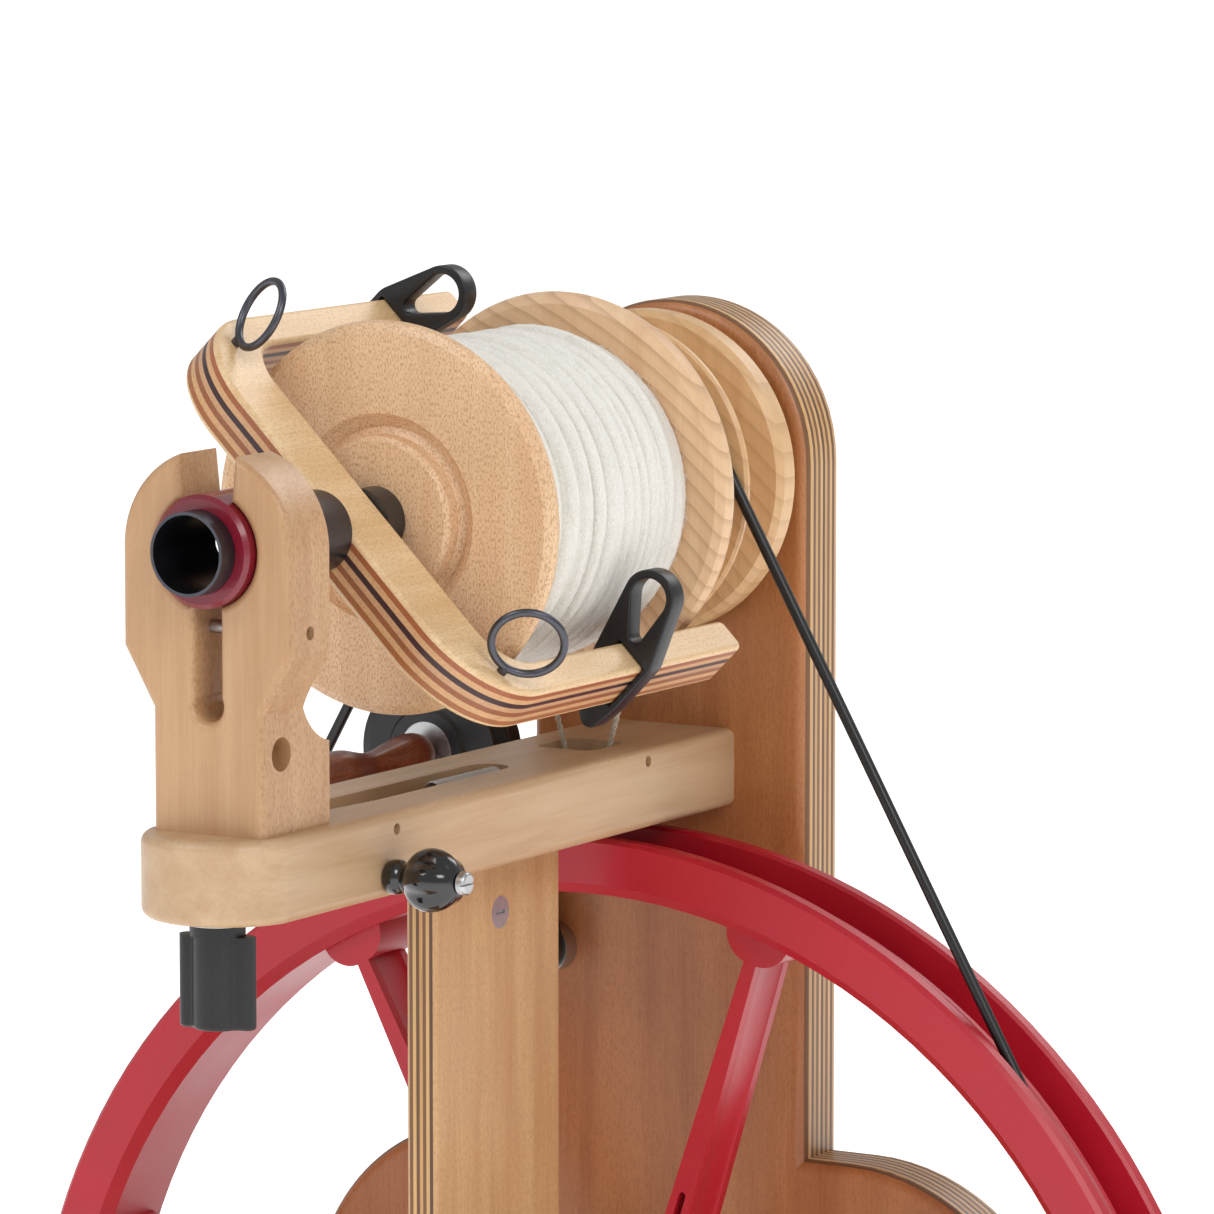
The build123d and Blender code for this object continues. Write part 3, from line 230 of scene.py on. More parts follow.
@dataclass(frozen=True)
class Timber:
    """Solid timber, planed or turned, sanded and oiled: broad figure, fine fibres and short ray flecks."""

    name: str
    pale: str
    deep: str
    fleck: str
    grain: Grain
    figure_mm: float = 9.0
    fibre_mm: float = 0.9       # coarser than the real fibre, which is too fine to show
    fleck_mm: float = 0.65
    fleck_share: float = 0.5
    fleck_face: Grain | None = None     # the faces that show the rays' ends, or all of them
    ring_mm: float = 0.0                # spacing of the growth rings, where they show as arcs
    fleck_until: float | None = None    # flecks in front of this row Y, and rings behind it
    roughness: float = 0.42
    coat: float = 0.12
    blotch: float = 0.12
    blotch_mm: float = 60.0
    figure_stretch: float = 14.0        # how much longer than wide the figure, fibres and flecks are
    fibre_stretch: float = 30.0
    fleck_stretch: float = 2.2
    pith_shift: tuple[float, float, float] = (0.11, 0.0, -0.44)     # brings the rings' middle to the origin

    def stretched(self, tree: bpy.types.NodeTree, stretch: float) -> bpy.types.NodeSocket:
        """Object coordinates drawn out along the fibres.

        Args:
            tree: Node tree that receives the nodes.
            stretch: How many times longer than wide a feature gets.

        Returns:
            The mapped coordinates.
        """
        scale = [1.0, 1.0, 1.0]
        scale[self.grain.value] = 1.0 / stretch
        coords = add_node(tree, "ShaderNodeTexCoord")
        return add_node(tree, "ShaderNodeMapping", {"Scale": scale},
                        {"Vector": coords.outputs["Object"]}).outputs["Vector"]

    def behind(self, tree: bpy.types.NodeTree, inverted: bool) -> bpy.types.NodeSocket:
        """One behind the limit between flecks and rings, or in front of it.

        Args:
            tree: Node tree that receives the nodes.
            inverted: Whether it is one in front instead.

        Returns:
            The mask.
        """
        coords = add_node(tree, "ShaderNodeTexCoord").outputs["Object"]
        depth = add_node(tree, "ShaderNodeSeparateXYZ", links={"Vector": coords}).outputs["Y"]
        kind = "LESS_THAN" if inverted else "GREATER_THAN"
        return add_node(tree, "ShaderNodeMath", {"operation": kind, 1: self.fleck_until},
                        {0: depth}).outputs["Value"]

    def flecks(self, tree: bpy.types.NodeTree) -> bpy.types.NodeSocket:
        """Dense short ray flecks, on the faces that cut the rays across.

        Args:
            tree: Node tree that receives the nodes.

        Returns:
            Strength of the flecks.
        """
        noise = add_node(tree, "ShaderNodeTexNoise", {"Scale": 1 / (self.fleck_mm * MM), "Detail": 1.0},
                         {"Vector": self.stretched(tree, self.fleck_stretch)}).outputs["Fac"]
        marks = ramp(tree, noise, [(0.48, grey(0.0)), (0.64, grey(self.fleck_share))])
        if self.fleck_face is not None:
            normal = add_node(tree, "ShaderNodeNewGeometry").outputs["Normal"]
            axis = "XYZ"[self.fleck_face.value]
            part = add_node(tree, "ShaderNodeSeparateXYZ", links={"Vector": normal}).outputs[axis]
            size = add_node(tree, "ShaderNodeMath", {"operation": "ABSOLUTE"}, {0: part}).outputs["Value"]
            facing = ramp(tree, size, [(0.35, grey(0.15)), (0.8, grey(1.0))])
            marks = add_node(tree, "ShaderNodeMath", {"operation": "MULTIPLY"},
                             {0: marks, 1: facing}).outputs["Value"]
        if self.fleck_until is not None:
            marks = add_node(tree, "ShaderNodeMath", {"operation": "MULTIPLY"},
                             {0: marks, 1: self.behind(tree, True)}).outputs["Value"]
        return marks

    def rings(self, tree: bpy.types.NodeTree) -> bpy.types.NodeSocket:
        """Thin dark lines of the growth rings, as wide arcs about a pith outside the piece.

        Args:
            tree: Node tree that receives the nodes.

        Returns:
            Strength of the lines.
        """
        wave_period = 2 * math.pi / 20      # of the wave texture at scale 1
        coords = add_node(tree, "ShaderNodeTexCoord")
        centred = add_node(tree, "ShaderNodeMapping", {"Location": self.pith_shift},
                           {"Vector": coords.outputs["Object"]})
        wave = add_node(tree, "ShaderNodeTexWave",
                        {"wave_type": "RINGS", "rings_direction": "Y", "wave_profile": "SAW",
                         "Scale": wave_period / (self.ring_mm * MM), "Distortion": 1.2, "Detail": 2.0,
                         "Detail Scale": 0.6}, {"Vector": centred.outputs["Vector"]}).outputs["Fac"]
        lines = ramp(tree, wave, [(0.0, grey(0.0)), (0.55, grey(0.03)), (0.97, grey(0.5)),
                                  (1.0, grey(0.08))])
        if self.fleck_until is None:
            return lines
        return add_node(tree, "ShaderNodeMath", {"operation": "MULTIPLY"},
                        {0: lines, 1: self.behind(tree, False)}).outputs["Value"]

    def figure(self, tree: bpy.types.NodeTree) -> tuple[bpy.types.NodeSocket, bpy.types.NodeSocket]:
        """Colour and height of the timber's surface.

        Args:
            tree: Node tree that receives the nodes.

        Returns:
            The colour and the height.
        """
        broad = add_node(tree, "ShaderNodeTexNoise",
                         {"Scale": 1 / (self.figure_mm * MM), "Detail": 3.0, "Distortion": 0.6},
                         {"Vector": self.stretched(tree, self.figure_stretch)}).outputs["Fac"]
        fibres = add_node(tree, "ShaderNodeTexNoise",
                          {"Scale": 1 / (self.fibre_mm * MM), "Detail": 4.0, "Roughness": 0.65},
                          {"Vector": self.stretched(tree, self.fibre_stretch)}).outputs["Fac"]
        marks = self.flecks(tree)
        blotches = add_node(tree, "ShaderNodeTexNoise",
                            {"Scale": 1 / (self.blotch_mm * MM), "Detail": 4.0},
                            {"Vector": self.stretched(tree, 2.0)}).outputs["Fac"]
        both = add_node(tree, "ShaderNodeMix", {"data_type": "FLOAT", 0: 0.35},
                        {2: broad, 3: fibres}).outputs[0]
        wood = ramp(tree, both, [(0.34, linear(self.deep)), (0.62, linear(self.pale))])
        marked = add_node(tree, "ShaderNodeMix", {"data_type": "RGBA", 7: linear(self.fleck)},
                          {0: marks, 6: wood}).outputs[2]
        if self.ring_mm:
            marked = add_node(tree, "ShaderNodeMix", {"data_type": "RGBA", 7: linear(self.fleck)},
                              {0: self.rings(tree), 6: marked}).outputs[2]
        shade = ramp(tree, blotches, [(0.3, grey(1.0 - self.blotch)), (0.7, grey(1.0))])
        colour = add_node(tree, "ShaderNodeMix", {"data_type": "RGBA", "blend_type": "MULTIPLY", 0: 1.0},
                          {6: marked, 7: shade}).outputs[2]
        return colour, fibres

    def finish_shader(self, tree: bpy.types.NodeTree, shader: bpy.types.Node,
                      colour: bpy.types.NodeSocket, height: bpy.types.NodeSocket) -> None:
        """Set the oiled surface on the shader.

        Args:
            tree: Node tree of the material.
            shader: Principled shader.
            colour: Colour of the surface.
            height: Height of the fibres.
        """
        shader.inputs["Roughness"].default_value = self.roughness
        shader.inputs["Coat Weight"].default_value = self.coat
        shader.inputs["Coat Roughness"].default_value = 0.3
        shader.inputs["IOR"].default_value = 1.5
        tree.links.new(colour, shader.inputs["Base Color"])
        bump = add_node(tree, "ShaderNodeBump", {"Strength": 0.25, "Distance": 0.08 * MM},
                        {"Height": height})
        tree.links.new(bump.outputs["Normal"], shader.inputs["Normal"])

    def material(self) -> bpy.types.Material:
        """Material of the solid timber."""
        made, tree, shader = new_material(self.name)
        self.finish_shader(tree, shader, *self.figure(tree))
        return made


@dataclass(frozen=True)
class Layered(Timber):
    """Glued layers: the faces show veneer, and every edge shows the layers it cuts through."""

    normal: tuple[float, float, float] = (0.0, 1.0, 0.0)
    start: float = 0.0
    thickness: float = 0.02
    layers: tuple[str, ...] = ()
    veneer: float = 0.06        # share of the thickness that the face veneer takes, on each side

    def material(self) -> bpy.types.Material:
        """Material of the layered board."""
        made, tree, shader = new_material(self.name)
        veneer_colour, fibres = self.figure(tree)
        coords = add_node(tree, "ShaderNodeTexCoord")
        depth = add_node(tree, "ShaderNodeVectorMath", {"operation": "DOT_PRODUCT", 1: self.normal},
                         {0: coords.outputs["Object"]}).outputs["Value"]
        share = add_node(tree, "ShaderNodeMapRange",
                         {"From Min": self.start, "From Max": self.start + self.thickness},
                         {"Value": depth}).outputs["Result"]
        inner = 1.0 - 2 * self.veneer
        step = inner / len(self.layers)
        stops = [(self.veneer + i * step, linear(c)) for i, c in enumerate(self.layers)]
        edge = ramp(tree, share, stops, stepped=True)
        streaks = ramp(tree, fibres, [(0.3, grey(0.55)), (0.7, grey(1.0))])
        grained = add_node(tree, "ShaderNodeMix", {"data_type": "RGBA", "blend_type": "MULTIPLY", 0: 0.55},
                           {6: edge, 7: streaks}).outputs[2]
        inside = ramp(tree, share, [(0.0, grey(0.0)), (self.veneer, grey(1.0)),
                                    (1.0 - self.veneer, grey(0.0))], stepped=True)
        colour = add_node(tree, "ShaderNodeMix", {"data_type": "RGBA"},
                          {0: inside, 6: veneer_colour, 7: grained}).outputs[2]
        self.finish_shader(tree, shader, colour, fibres)
        return made


# ---------------------------------------------------------------- polymers, metals, cloth
@dataclass(frozen=True)
class Moulded:
    """Moulded or turned polymer: an even colour with fine speckle and a faintly pebbled skin."""

    name: str
    base: str
    speckle: str
    grit_mm: float = 0.7
    amount: float = 0.5
    roughness: float = 0.45
    bump: float = 0.15
    coat: float = 0.0
    cloud_mm: float = 45.0

    def material(self) -> bpy.types.Material:
        """Material of the polymer."""
        made, tree, shader = new_material(self.name)
        coords = add_node(tree, "ShaderNodeTexCoord").outputs["Object"]
        grit = add_node(tree, "ShaderNodeTexNoise", {"Scale": 1 / (self.grit_mm * MM), "Detail": 3.0},
                        {"Vector": coords}).outputs["Fac"]
        clouds = add_node(tree, "ShaderNodeTexNoise", {"Scale": 1 / (self.cloud_mm * MM), "Detail": 3.0},
                          {"Vector": coords}).outputs["Fac"]
        spots = ramp(tree, grit, [(0.52, grey(0.0)), (0.68, grey(self.amount))])
        colour = add_node(tree, "ShaderNodeMix",
                          {"data_type": "RGBA", 6: linear(self.base), 7: linear(self.speckle)},
                          {0: spots}).outputs[2]
        shade = ramp(tree, clouds, [(0.3, grey(0.86)), (0.7, grey(1.0))])
        shaded = add_node(tree, "ShaderNodeMix", {"data_type": "RGBA", "blend_type": "MULTIPLY", 0: 1.0},
                          {6: colour, 7: shade}).outputs[2]
        tree.links.new(shaded, shader.inputs["Base Color"])
        rough = ramp(tree, clouds, [(0.3, grey(self.roughness - 0.06)), (0.7, grey(self.roughness + 0.06))])
        tree.links.new(rough, shader.inputs["Roughness"])
        shader.inputs["Coat Weight"].default_value = self.coat
        shader.inputs["Coat Roughness"].default_value = 0.12
        bump = add_node(tree, "ShaderNodeBump", {"Strength": self.bump, "Distance": 0.1 * MM},
                        {"Height": grit})
        tree.links.new(bump.outputs["Normal"], shader.inputs["Normal"])
        return made


@dataclass(frozen=True)
class Metal:
    """Plated or blackened steel with a fine worked surface."""

    name: str
    base: str
    roughness: float = 0.28
    scratch_mm: float = 0.35

    def material(self) -> bpy.types.Material:
        """Material of the metal."""
        made, tree, shader = new_material(self.name)
        coords = add_node(tree, "ShaderNodeTexCoord").outputs["Object"]
        drawn = add_node(tree, "ShaderNodeMapping", {"Scale": (1.0, 12.0, 1.0)}, {"Vector": coords})
        lines = add_node(tree, "ShaderNodeTexNoise", {"Scale": 0.1 / (self.scratch_mm * MM), "Detail": 4.0},
                         {"Vector": drawn.outputs["Vector"]}).outputs["Fac"]
        colour = add_node(tree, "ShaderNodeMix", {"data_type": "RGBA", "blend_type": "MULTIPLY", 0: 1.0,
                                                   6: linear(self.base)},
                          {7: ramp(tree, lines, [(0.3, grey(0.8)), (0.7, grey(1.0))])}).outputs[2]
        tree.links.new(colour, shader.inputs["Base Color"])
        shader.inputs["Metallic"].default_value = 1.0
        rough = ramp(tree, lines, [(0.3, grey(self.roughness)), (0.7, grey(self.roughness + 0.12))])
        tree.links.new(rough, shader.inputs["Roughness"])
        bump = add_node(tree, "ShaderNodeBump", {"Strength": 0.1, "Distance": 0.03 * MM}, {"Height": lines})
        tree.links.new(bump.outputs["Normal"], shader.inputs["Normal"])
        return made


@dataclass(frozen=True)
class Spun:
    """Spun fibre, wool or cotton: soft, matt, with a haze of fine hairs that catches the light."""

    name: str
    base: str
    shade: str
    fibre_mm: float = 0.5
    sheen: float = 0.4
    bump: float = 0.7

    def material(self) -> bpy.types.Material:
        """Material of the spun fibre."""
        made, tree, shader = new_material(self.name)
        coords = add_node(tree, "ShaderNodeTexCoord").outputs["Object"]
        drawn = add_node(tree, "ShaderNodeMapping", {"Scale": (1.0, 2.5, 1.0)}, {"Vector": coords})
        fibres = add_node(tree, "ShaderNodeTexNoise",
                          {"Scale": 1 / (self.fibre_mm * MM), "Detail": 5.0, "Roughness": 0.7,
                           "Distortion": 0.8},
                          {"Vector": drawn.outputs["Vector"]}).outputs["Fac"]
        colour = ramp(tree, fibres, [(0.3, linear(self.shade)), (0.6, linear(self.base))])
        tree.links.new(colour, shader.inputs["Base Color"])
        shader.inputs["Roughness"].default_value = 0.95
        shader.inputs["Sheen Weight"].default_value = self.sheen
        shader.inputs["Sheen Roughness"].default_value = 0.5
        shader.inputs["Subsurface Weight"].default_value = 0.05
        shader.inputs["Subsurface Radius"].default_value = (1.2 * MM, 1.2 * MM, 1.1 * MM)
        shader.inputs["Subsurface Scale"].default_value = 1.0
        bump = add_node(tree, "ShaderNodeBump", {"Strength": self.bump, "Distance": 0.4 * MM},
                        {"Height": fibres})
        tree.links.new(bump.outputs["Normal"], shader.inputs["Normal"])
        return made


# ---------------------------------------------------------------- the wool on the bobbin
@dataclass
class WoolWinding:
    """Thick handspun single, wound to and fro on the bobbin in a slightly uneven outer layer."""

    material: bpy.types.Material
    strand_r: float = 2.8 * MM
    pitch: float = 4.9 * MM
    per_turn: int = 56
    seed: int = 7
    margin: float = 0.5 * MM            # kept free inside the CAD solid's outside
    end_drop: float = 2.2 * MM          # how much lower the wool lies against the flanges
    waves: int = 7                      # slow waves that add up to the winding's unevenness
    sway: float = 7.5 * MM              # how far they move it along the bobbin
    swell: float = 2.6 * MM             # how far they move it out and in
    under_layer: float = -2.4 * MM      # height of the layer seen in the creases
    core_drop: float = 3.4 * MM         # depth of the plain core below the outside
    hair_r: float = 0.045 * MM          # coarser than a real fibre, which is too fine to show

    def __post_init__(self) -> None:
        """Read the room between the flanges from the CAD solid that the wool stands for."""
        self.low, self.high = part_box("yarn")
        self.axis_z = (self.low.z + self.high.z) / 2
        self.outer = (self.high.z - self.low.z) / 2 - self.margin

    def surface_radius(self, share: float) -> float:
        """Radius of the winding's outside, from 0 at the front flange to 1 at the rear one."""
        full = self.outer - self.strand_r
        return full - self.end_drop * abs(2 * share - 1) ** 6

    def unevenness(self) -> list[float]:
        """Factors on the strand's radius, thick and thin as hand spinning leaves it."""
        rng = random.Random(self.seed + 3)
        knots = [rng.uniform(0.72, 1.1) for _ in range(89)]
        step = 5
        factors = []
        for k in range(len(knots) * step):
            before, after = knots[k // step], knots[(k // step + 1) % len(knots)]
            factors.append(before + (after - before) * (k % step) / step)
        return factors

    def route(self, shift: float, lift: float, seed: int) -> list[Vector]:
        """Points of one layer of wool.

        Args:
            shift: Share of a turn that the layer is moved along by.
            lift: How far its centreline lies outside the winding's nominal one.
            seed: Seed of its unevenness.

        Returns:
            The layer's points.
        """
        rng = random.Random(seed)
        waves = [(rng.uniform(0.15, 0.9), rng.uniform(0, 2 * math.pi), rng.uniform(0.3, 1.0))
                 for _ in range(self.waves)]
        first, last = self.low.y + self.strand_r, self.high.y - self.strand_r
        turns = (last - first) / self.pitch
        points = []
        for i in range(int(turns * self.per_turn) + 1):
            turn = i / self.per_turn
            share = turn / turns
            sway = sum(a * math.sin(f * turn * 2 * math.pi + p) for f, p, a in waves) / self.waves
            y = first + (last - first) * share + sway * self.sway + shift * self.pitch
            y = min(max(y, first), last)
            swell = sum(a * math.sin(2.3 * f * turn * 2 * math.pi + 2 * p) for f, p, a in waves)
            swell /= self.waves
            radius = self.surface_radius(share) + lift + swell * self.swell
            angle = turn * 2 * math.pi
            points.append(Vector((radius * math.cos(angle), y, self.axis_z + radius * math.sin(angle))))
        return points

    def build(self) -> None:
        """Wind the wool over a plain core and hide the CAD solid it stands for."""
        layers = [self.route(0.0, 0.0, self.seed), self.route(0.5, self.under_layer, self.seed + 1)]
        piece = strand("wound_wool", layers, self.strand_r, "bobbin", self.material, sides=3,
                       widths=self.unevenness())
        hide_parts("yarn")
        deselect_all()
        depth = self.high.y - self.low.y
        bpy.ops.mesh.primitive_cylinder_add(
            vertices=96, radius=self.outer - self.core_drop, depth=depth - 0.4 * MM,
            location=(0, (self.low.y + self.high.y) / 2, self.axis_z), rotation=(math.pi / 2, 0, 0))
        core = bpy.context.object
        core.name = "wool_underlayer"
        bpy.ops.object.mode_set(mode="EDIT")
        bpy.ops.mesh.select_all(action="SELECT")
        bpy.ops.mesh.bevel(offset=2 * MM, segments=2)
        bpy.ops.object.mode_set(mode="OBJECT")
        bpy.ops.object.transform_apply(location=True, rotation=True, scale=True)
        bpy.ops.object.shade_smooth_by_angle(angle=math.radians(40))
        core.data.materials.append(self.material)
        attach(core, "bobbin")
        self.build_haze()
        log.info("wound wool of %d strands", len(layers))

    def build_haze(self, hairs: int = 3200) -> None:
        """Fine loose hairs that stand off the wool.

        Args:
            hairs: How many hairs there are.
        """
        rng = random.Random(self.seed + 2)
        routes = []
        for _ in range(hairs):
            share, angle = rng.random(), rng.uniform(0, 2 * math.pi)
            y = self.low.y + 1.5 * MM + share * (self.high.y - self.low.y - 3 * MM)
            reach = rng.uniform(0.02, 0.09)
            rise = rng.uniform(0.2, 1.5) * MM
            drift = rng.uniform(-1.5, 1.5) * MM
            inner = self.surface_radius(share) + self.strand_r - 1.1 * MM
            route = []
            for k in range(4):
                t = k / 3
                radius = min(inner + rise * math.sin(math.pi * t * 0.8), self.outer + 0.4 * MM)
                turn = angle + reach * t
                place = min(max(y + drift * t, self.low.y), self.high.y)
                route.append(Vector((radius * math.cos(turn), place, self.axis_z + radius * math.sin(turn))))
            routes.append(route)
        haze = strand("wool_haze", routes, self.hair_r, "bobbin", self.material, sides=1)


# ---------------------------------------------------------------- the bobbin's brake
@dataclass
class BobbinBrake:
    """Cord over the bobbin's groove, its knot, the sprung run to the knob and the steel spring."""

    cord: bpy.types.Material
    steel: bpy.types.Material
    ply_r: float = 0.55 * MM
    lay: float = 5.0 * MM
    foot_off: float = 5.6 * MM
    knot_above_bar: float = 10.0 * MM

    def twisted(self, name: str, line: list[Vector], body: str) -> bpy.types.Object:
        """Two plies twisted round a line of evenly spaced points.

        Args:
            name: Name of the piece.
            line: Points of the cord's middle.
            body: CAD body that it rides on.

        Returns:
            The cord.
        """
        plies: list[list[Vector]] = [[], []]
        travelled = 0.0
        for i, point in enumerate(line):
            ahead = (line[min(i + 1, len(line) - 1)] - line[max(i - 1, 0)]).normalized()
            side = ahead.cross(Vector((0.13, 0.98, 0.11))).normalized()
            if side.length < 0.5:
                side = ahead.cross(Vector((1, 0, 0))).normalized()
            other = ahead.cross(side)
            turn = travelled / self.lay * 2 * math.pi
            for k, ply in enumerate(plies):
                angle = turn + k * math.pi
                ply.append(point + (side * math.cos(angle) + other * math.sin(angle)) * self.ply_r * 0.8)
            travelled += (line[min(i + 1, len(line) - 1)] - point).length
        return strand(name, plies, self.ply_r, body, self.cord, sides=2)

    def straight(self, start: Vector, end: Vector, step: float = 0.7 * MM) -> list[Vector]:
        """Evenly spaced points from start to end."""
        count = max(2, int((end - start).length / step))
        return [start.lerp(end, i / count) for i in range(count + 1)]

    def build(self) -> None:
        """Lay the cord over the bobbin, tie its knot, and hook up the spring."""
        low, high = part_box("brake_cord")
        shaft_z = joint_place("flyer_spin")[2]
        plane_y = (low.y + high.y) / 2
        reach_r = high.z - shaft_z - 1.0 * MM
        drop = shaft_z - low.z
        lean = math.atan2(self.foot_off, drop) + math.acos(reach_r / math.hypot(self.foot_off, drop))
        touch = Vector((reach_r * math.sin(lean), plane_y, shaft_z - reach_r * math.cos(lean)))
        foot = Vector((self.foot_off, plane_y, low.z + 0.8 * MM))
        start_angle = math.atan2(touch.z - shaft_z, touch.x)
        sweep = math.pi - 2 * start_angle
        count = int(reach_r * sweep / (0.7 * MM))
        over = [Vector((reach_r * math.cos(start_angle + sweep * i / count), plane_y,
                        shaft_z + reach_r * math.sin(start_angle + sweep * i / count)))
                for i in range(1, count)]
        left_touch = Vector((-touch.x, plane_y, touch.z))
        left_foot = Vector((-foot.x, plane_y, foot.z))
        line = self.straight(foot, touch) + over + self.straight(left_touch, left_foot)
        piece = self.twisted("brake_cord_twist", line, "frame")
        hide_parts("brake_cord")
        self.build_knot(left_touch, left_foot)
        self.build_spring()

    def build_knot(self, upper: Vector, lower: Vector) -> None:
        """Tie an overhand knot on the left-hand run.

        Args:
            upper: Where that run leaves the bobbin.
            lower: Where it ends.
        """
        bar_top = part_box("mother_of_all")[1].z
        along = (upper.z - bar_top - self.knot_above_bar) / (upper.z - lower.z)
        centre = upper.lerp(lower, along)
        loop = []
        for i in range(72):
            a = 2 * math.pi * i / 72
            wide = 0.85 * MM * (2 + math.cos(3 * a))
            loop.append(centre + Vector((wide * math.cos(2 * a), wide * math.sin(2 * a) * 0.8,
                                         1.1 * MM * math.sin(3 * a))))
        knot = strand("brake_cord_knot", [loop], self.ply_r * 1.3, "frame", self.cord, sides=3, closed=True)

    def build_spring(self) -> None:
        """Wind the closed coil spring and lead the cord from it in a straight run to just above the spring's
        anchor pin.
        """
        low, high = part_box("brake_spring")
        middle = (low + high) / 2
        wire = 0.4 * MM
        radius = (high.x - low.x) / 2 - wire
        turns = int((high.y - low.y) / (2.3 * wire))
        coil = []
        for i in range(turns * 20 + 1):
            a = 2 * math.pi * i / 20
            y = low.y + wire + (high.y - low.y - 2 * wire) * i / (turns * 20)
            coil.append(Vector((middle.x + radius * math.cos(a), y, middle.z + radius * math.sin(a))))
        spring = strand("brake_spring_coil", [coil], wire, "frame", self.steel, sides=2)
        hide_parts("brake_spring")
        pin_low, pin_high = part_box("spring_anchor")
        over_pin = Vector((0, (pin_low.y + pin_high.y) / 2, pin_high.z + 1.0 * MM))
        lead = self.straight(Vector((0, low.y + 1.0 * MM, middle.z)), over_pin)
        self.twisted("brake_cord_lead", lead, "frame")


# ---------------------------------------------------------------- moulded grips and hooks
@dataclass
class BrakeKnob:
    """Glossy knob with a collar, a waist and a rounded head scooped by broad flutes."""

    material: bpy.types.Material
    flutes: int = 5
    scoop: float = 0.17
    steps: int = 160
    spindle_r: float = 2.5 * MM
    merge: float = 0.01 * MM
    head_from: float = 0.27         # share of the length at which the head and its flutes start
    outline: tuple[tuple[float, float], ...] = (    # shares of the length and of the widest radius
        (0.012, 0.45), (0.02, 0.52), (0.15, 0.55), (0.19, 0.50), (0.22, 0.40), (0.27, 0.42), (0.33, 0.66),
        (0.42, 0.87), (0.54, 0.98), (0.64, 1.0), (0.76, 0.94), (0.86, 0.80), (0.94, 0.58), (0.99, 0.34),
        (1.0, 0.02))

    def build(self) -> None:
        """Spin the profile about the spindle, then press the flutes into the head."""
        low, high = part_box("tension_knob")
        _, axis_y, axis_z = joint_place("tension_turn")
        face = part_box("mother_of_all")[1].x
        length = high.x - face
        widest = (high.z - low.z) / 2
        collar = face + length * self.outline[0][0]
        spindle = [(low.x, 0.0), (low.x, self.spindle_r), (collar, self.spindle_r)]
        points = spindle + [(face + length * share, widest * radius) for share, radius in self.outline]
        mesh = bpy.data.meshes.new("brake_knob")
        mesh.from_pydata([(x, axis_y, axis_z + radius) for x, radius in points],
                         [(i, i + 1) for i in range(len(points) - 1)], [])
        knob = bpy.data.objects.new("brake_knob", mesh)
        bpy.context.scene.collection.objects.link(knob)
        pick(knob)
        bpy.ops.object.mode_set(mode="EDIT")
        bpy.ops.mesh.select_all(action="SELECT")
        bpy.ops.mesh.spin(steps=self.steps, angle=2 * math.pi, center=(0, axis_y, axis_z), axis=(1, 0, 0))
        bpy.ops.mesh.select_all(action="SELECT")
        bpy.ops.mesh.remove_doubles(threshold=self.merge)
        bpy.ops.mesh.normals_make_consistent(inside=False)
        bpy.ops.object.mode_set(mode="OBJECT")
        start = face + length * self.head_from
        for vertex in mesh.vertices:
            along = (vertex.co.x - start) / (high.x - start)
            if along <= 0:
                continue
            dy, dz = vertex.co.y - axis_y, vertex.co.z - axis_z
            wave = (0.5 + 0.5 * math.cos(self.flutes * math.atan2(dz, dy) + 0.9)) ** 1.6
            keep = 1 - self.scoop * wave * math.sin(math.pi * min(1.0, along)) ** 0.7
            vertex.co.y, vertex.co.z = axis_y + dy * keep, axis_z + dz * keep
        subdivision = knob.modifiers.new("smooth_skin", "SUBSURF")
        subdivision.levels = subdivision.render_levels = 1
        bpy.ops.object.modifier_apply(modifier=subdivision.name)
        bpy.ops.object.shade_smooth()
        mesh.materials.append(self.material)
        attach(knob, "tension_knob")
        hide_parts("tension_knob")


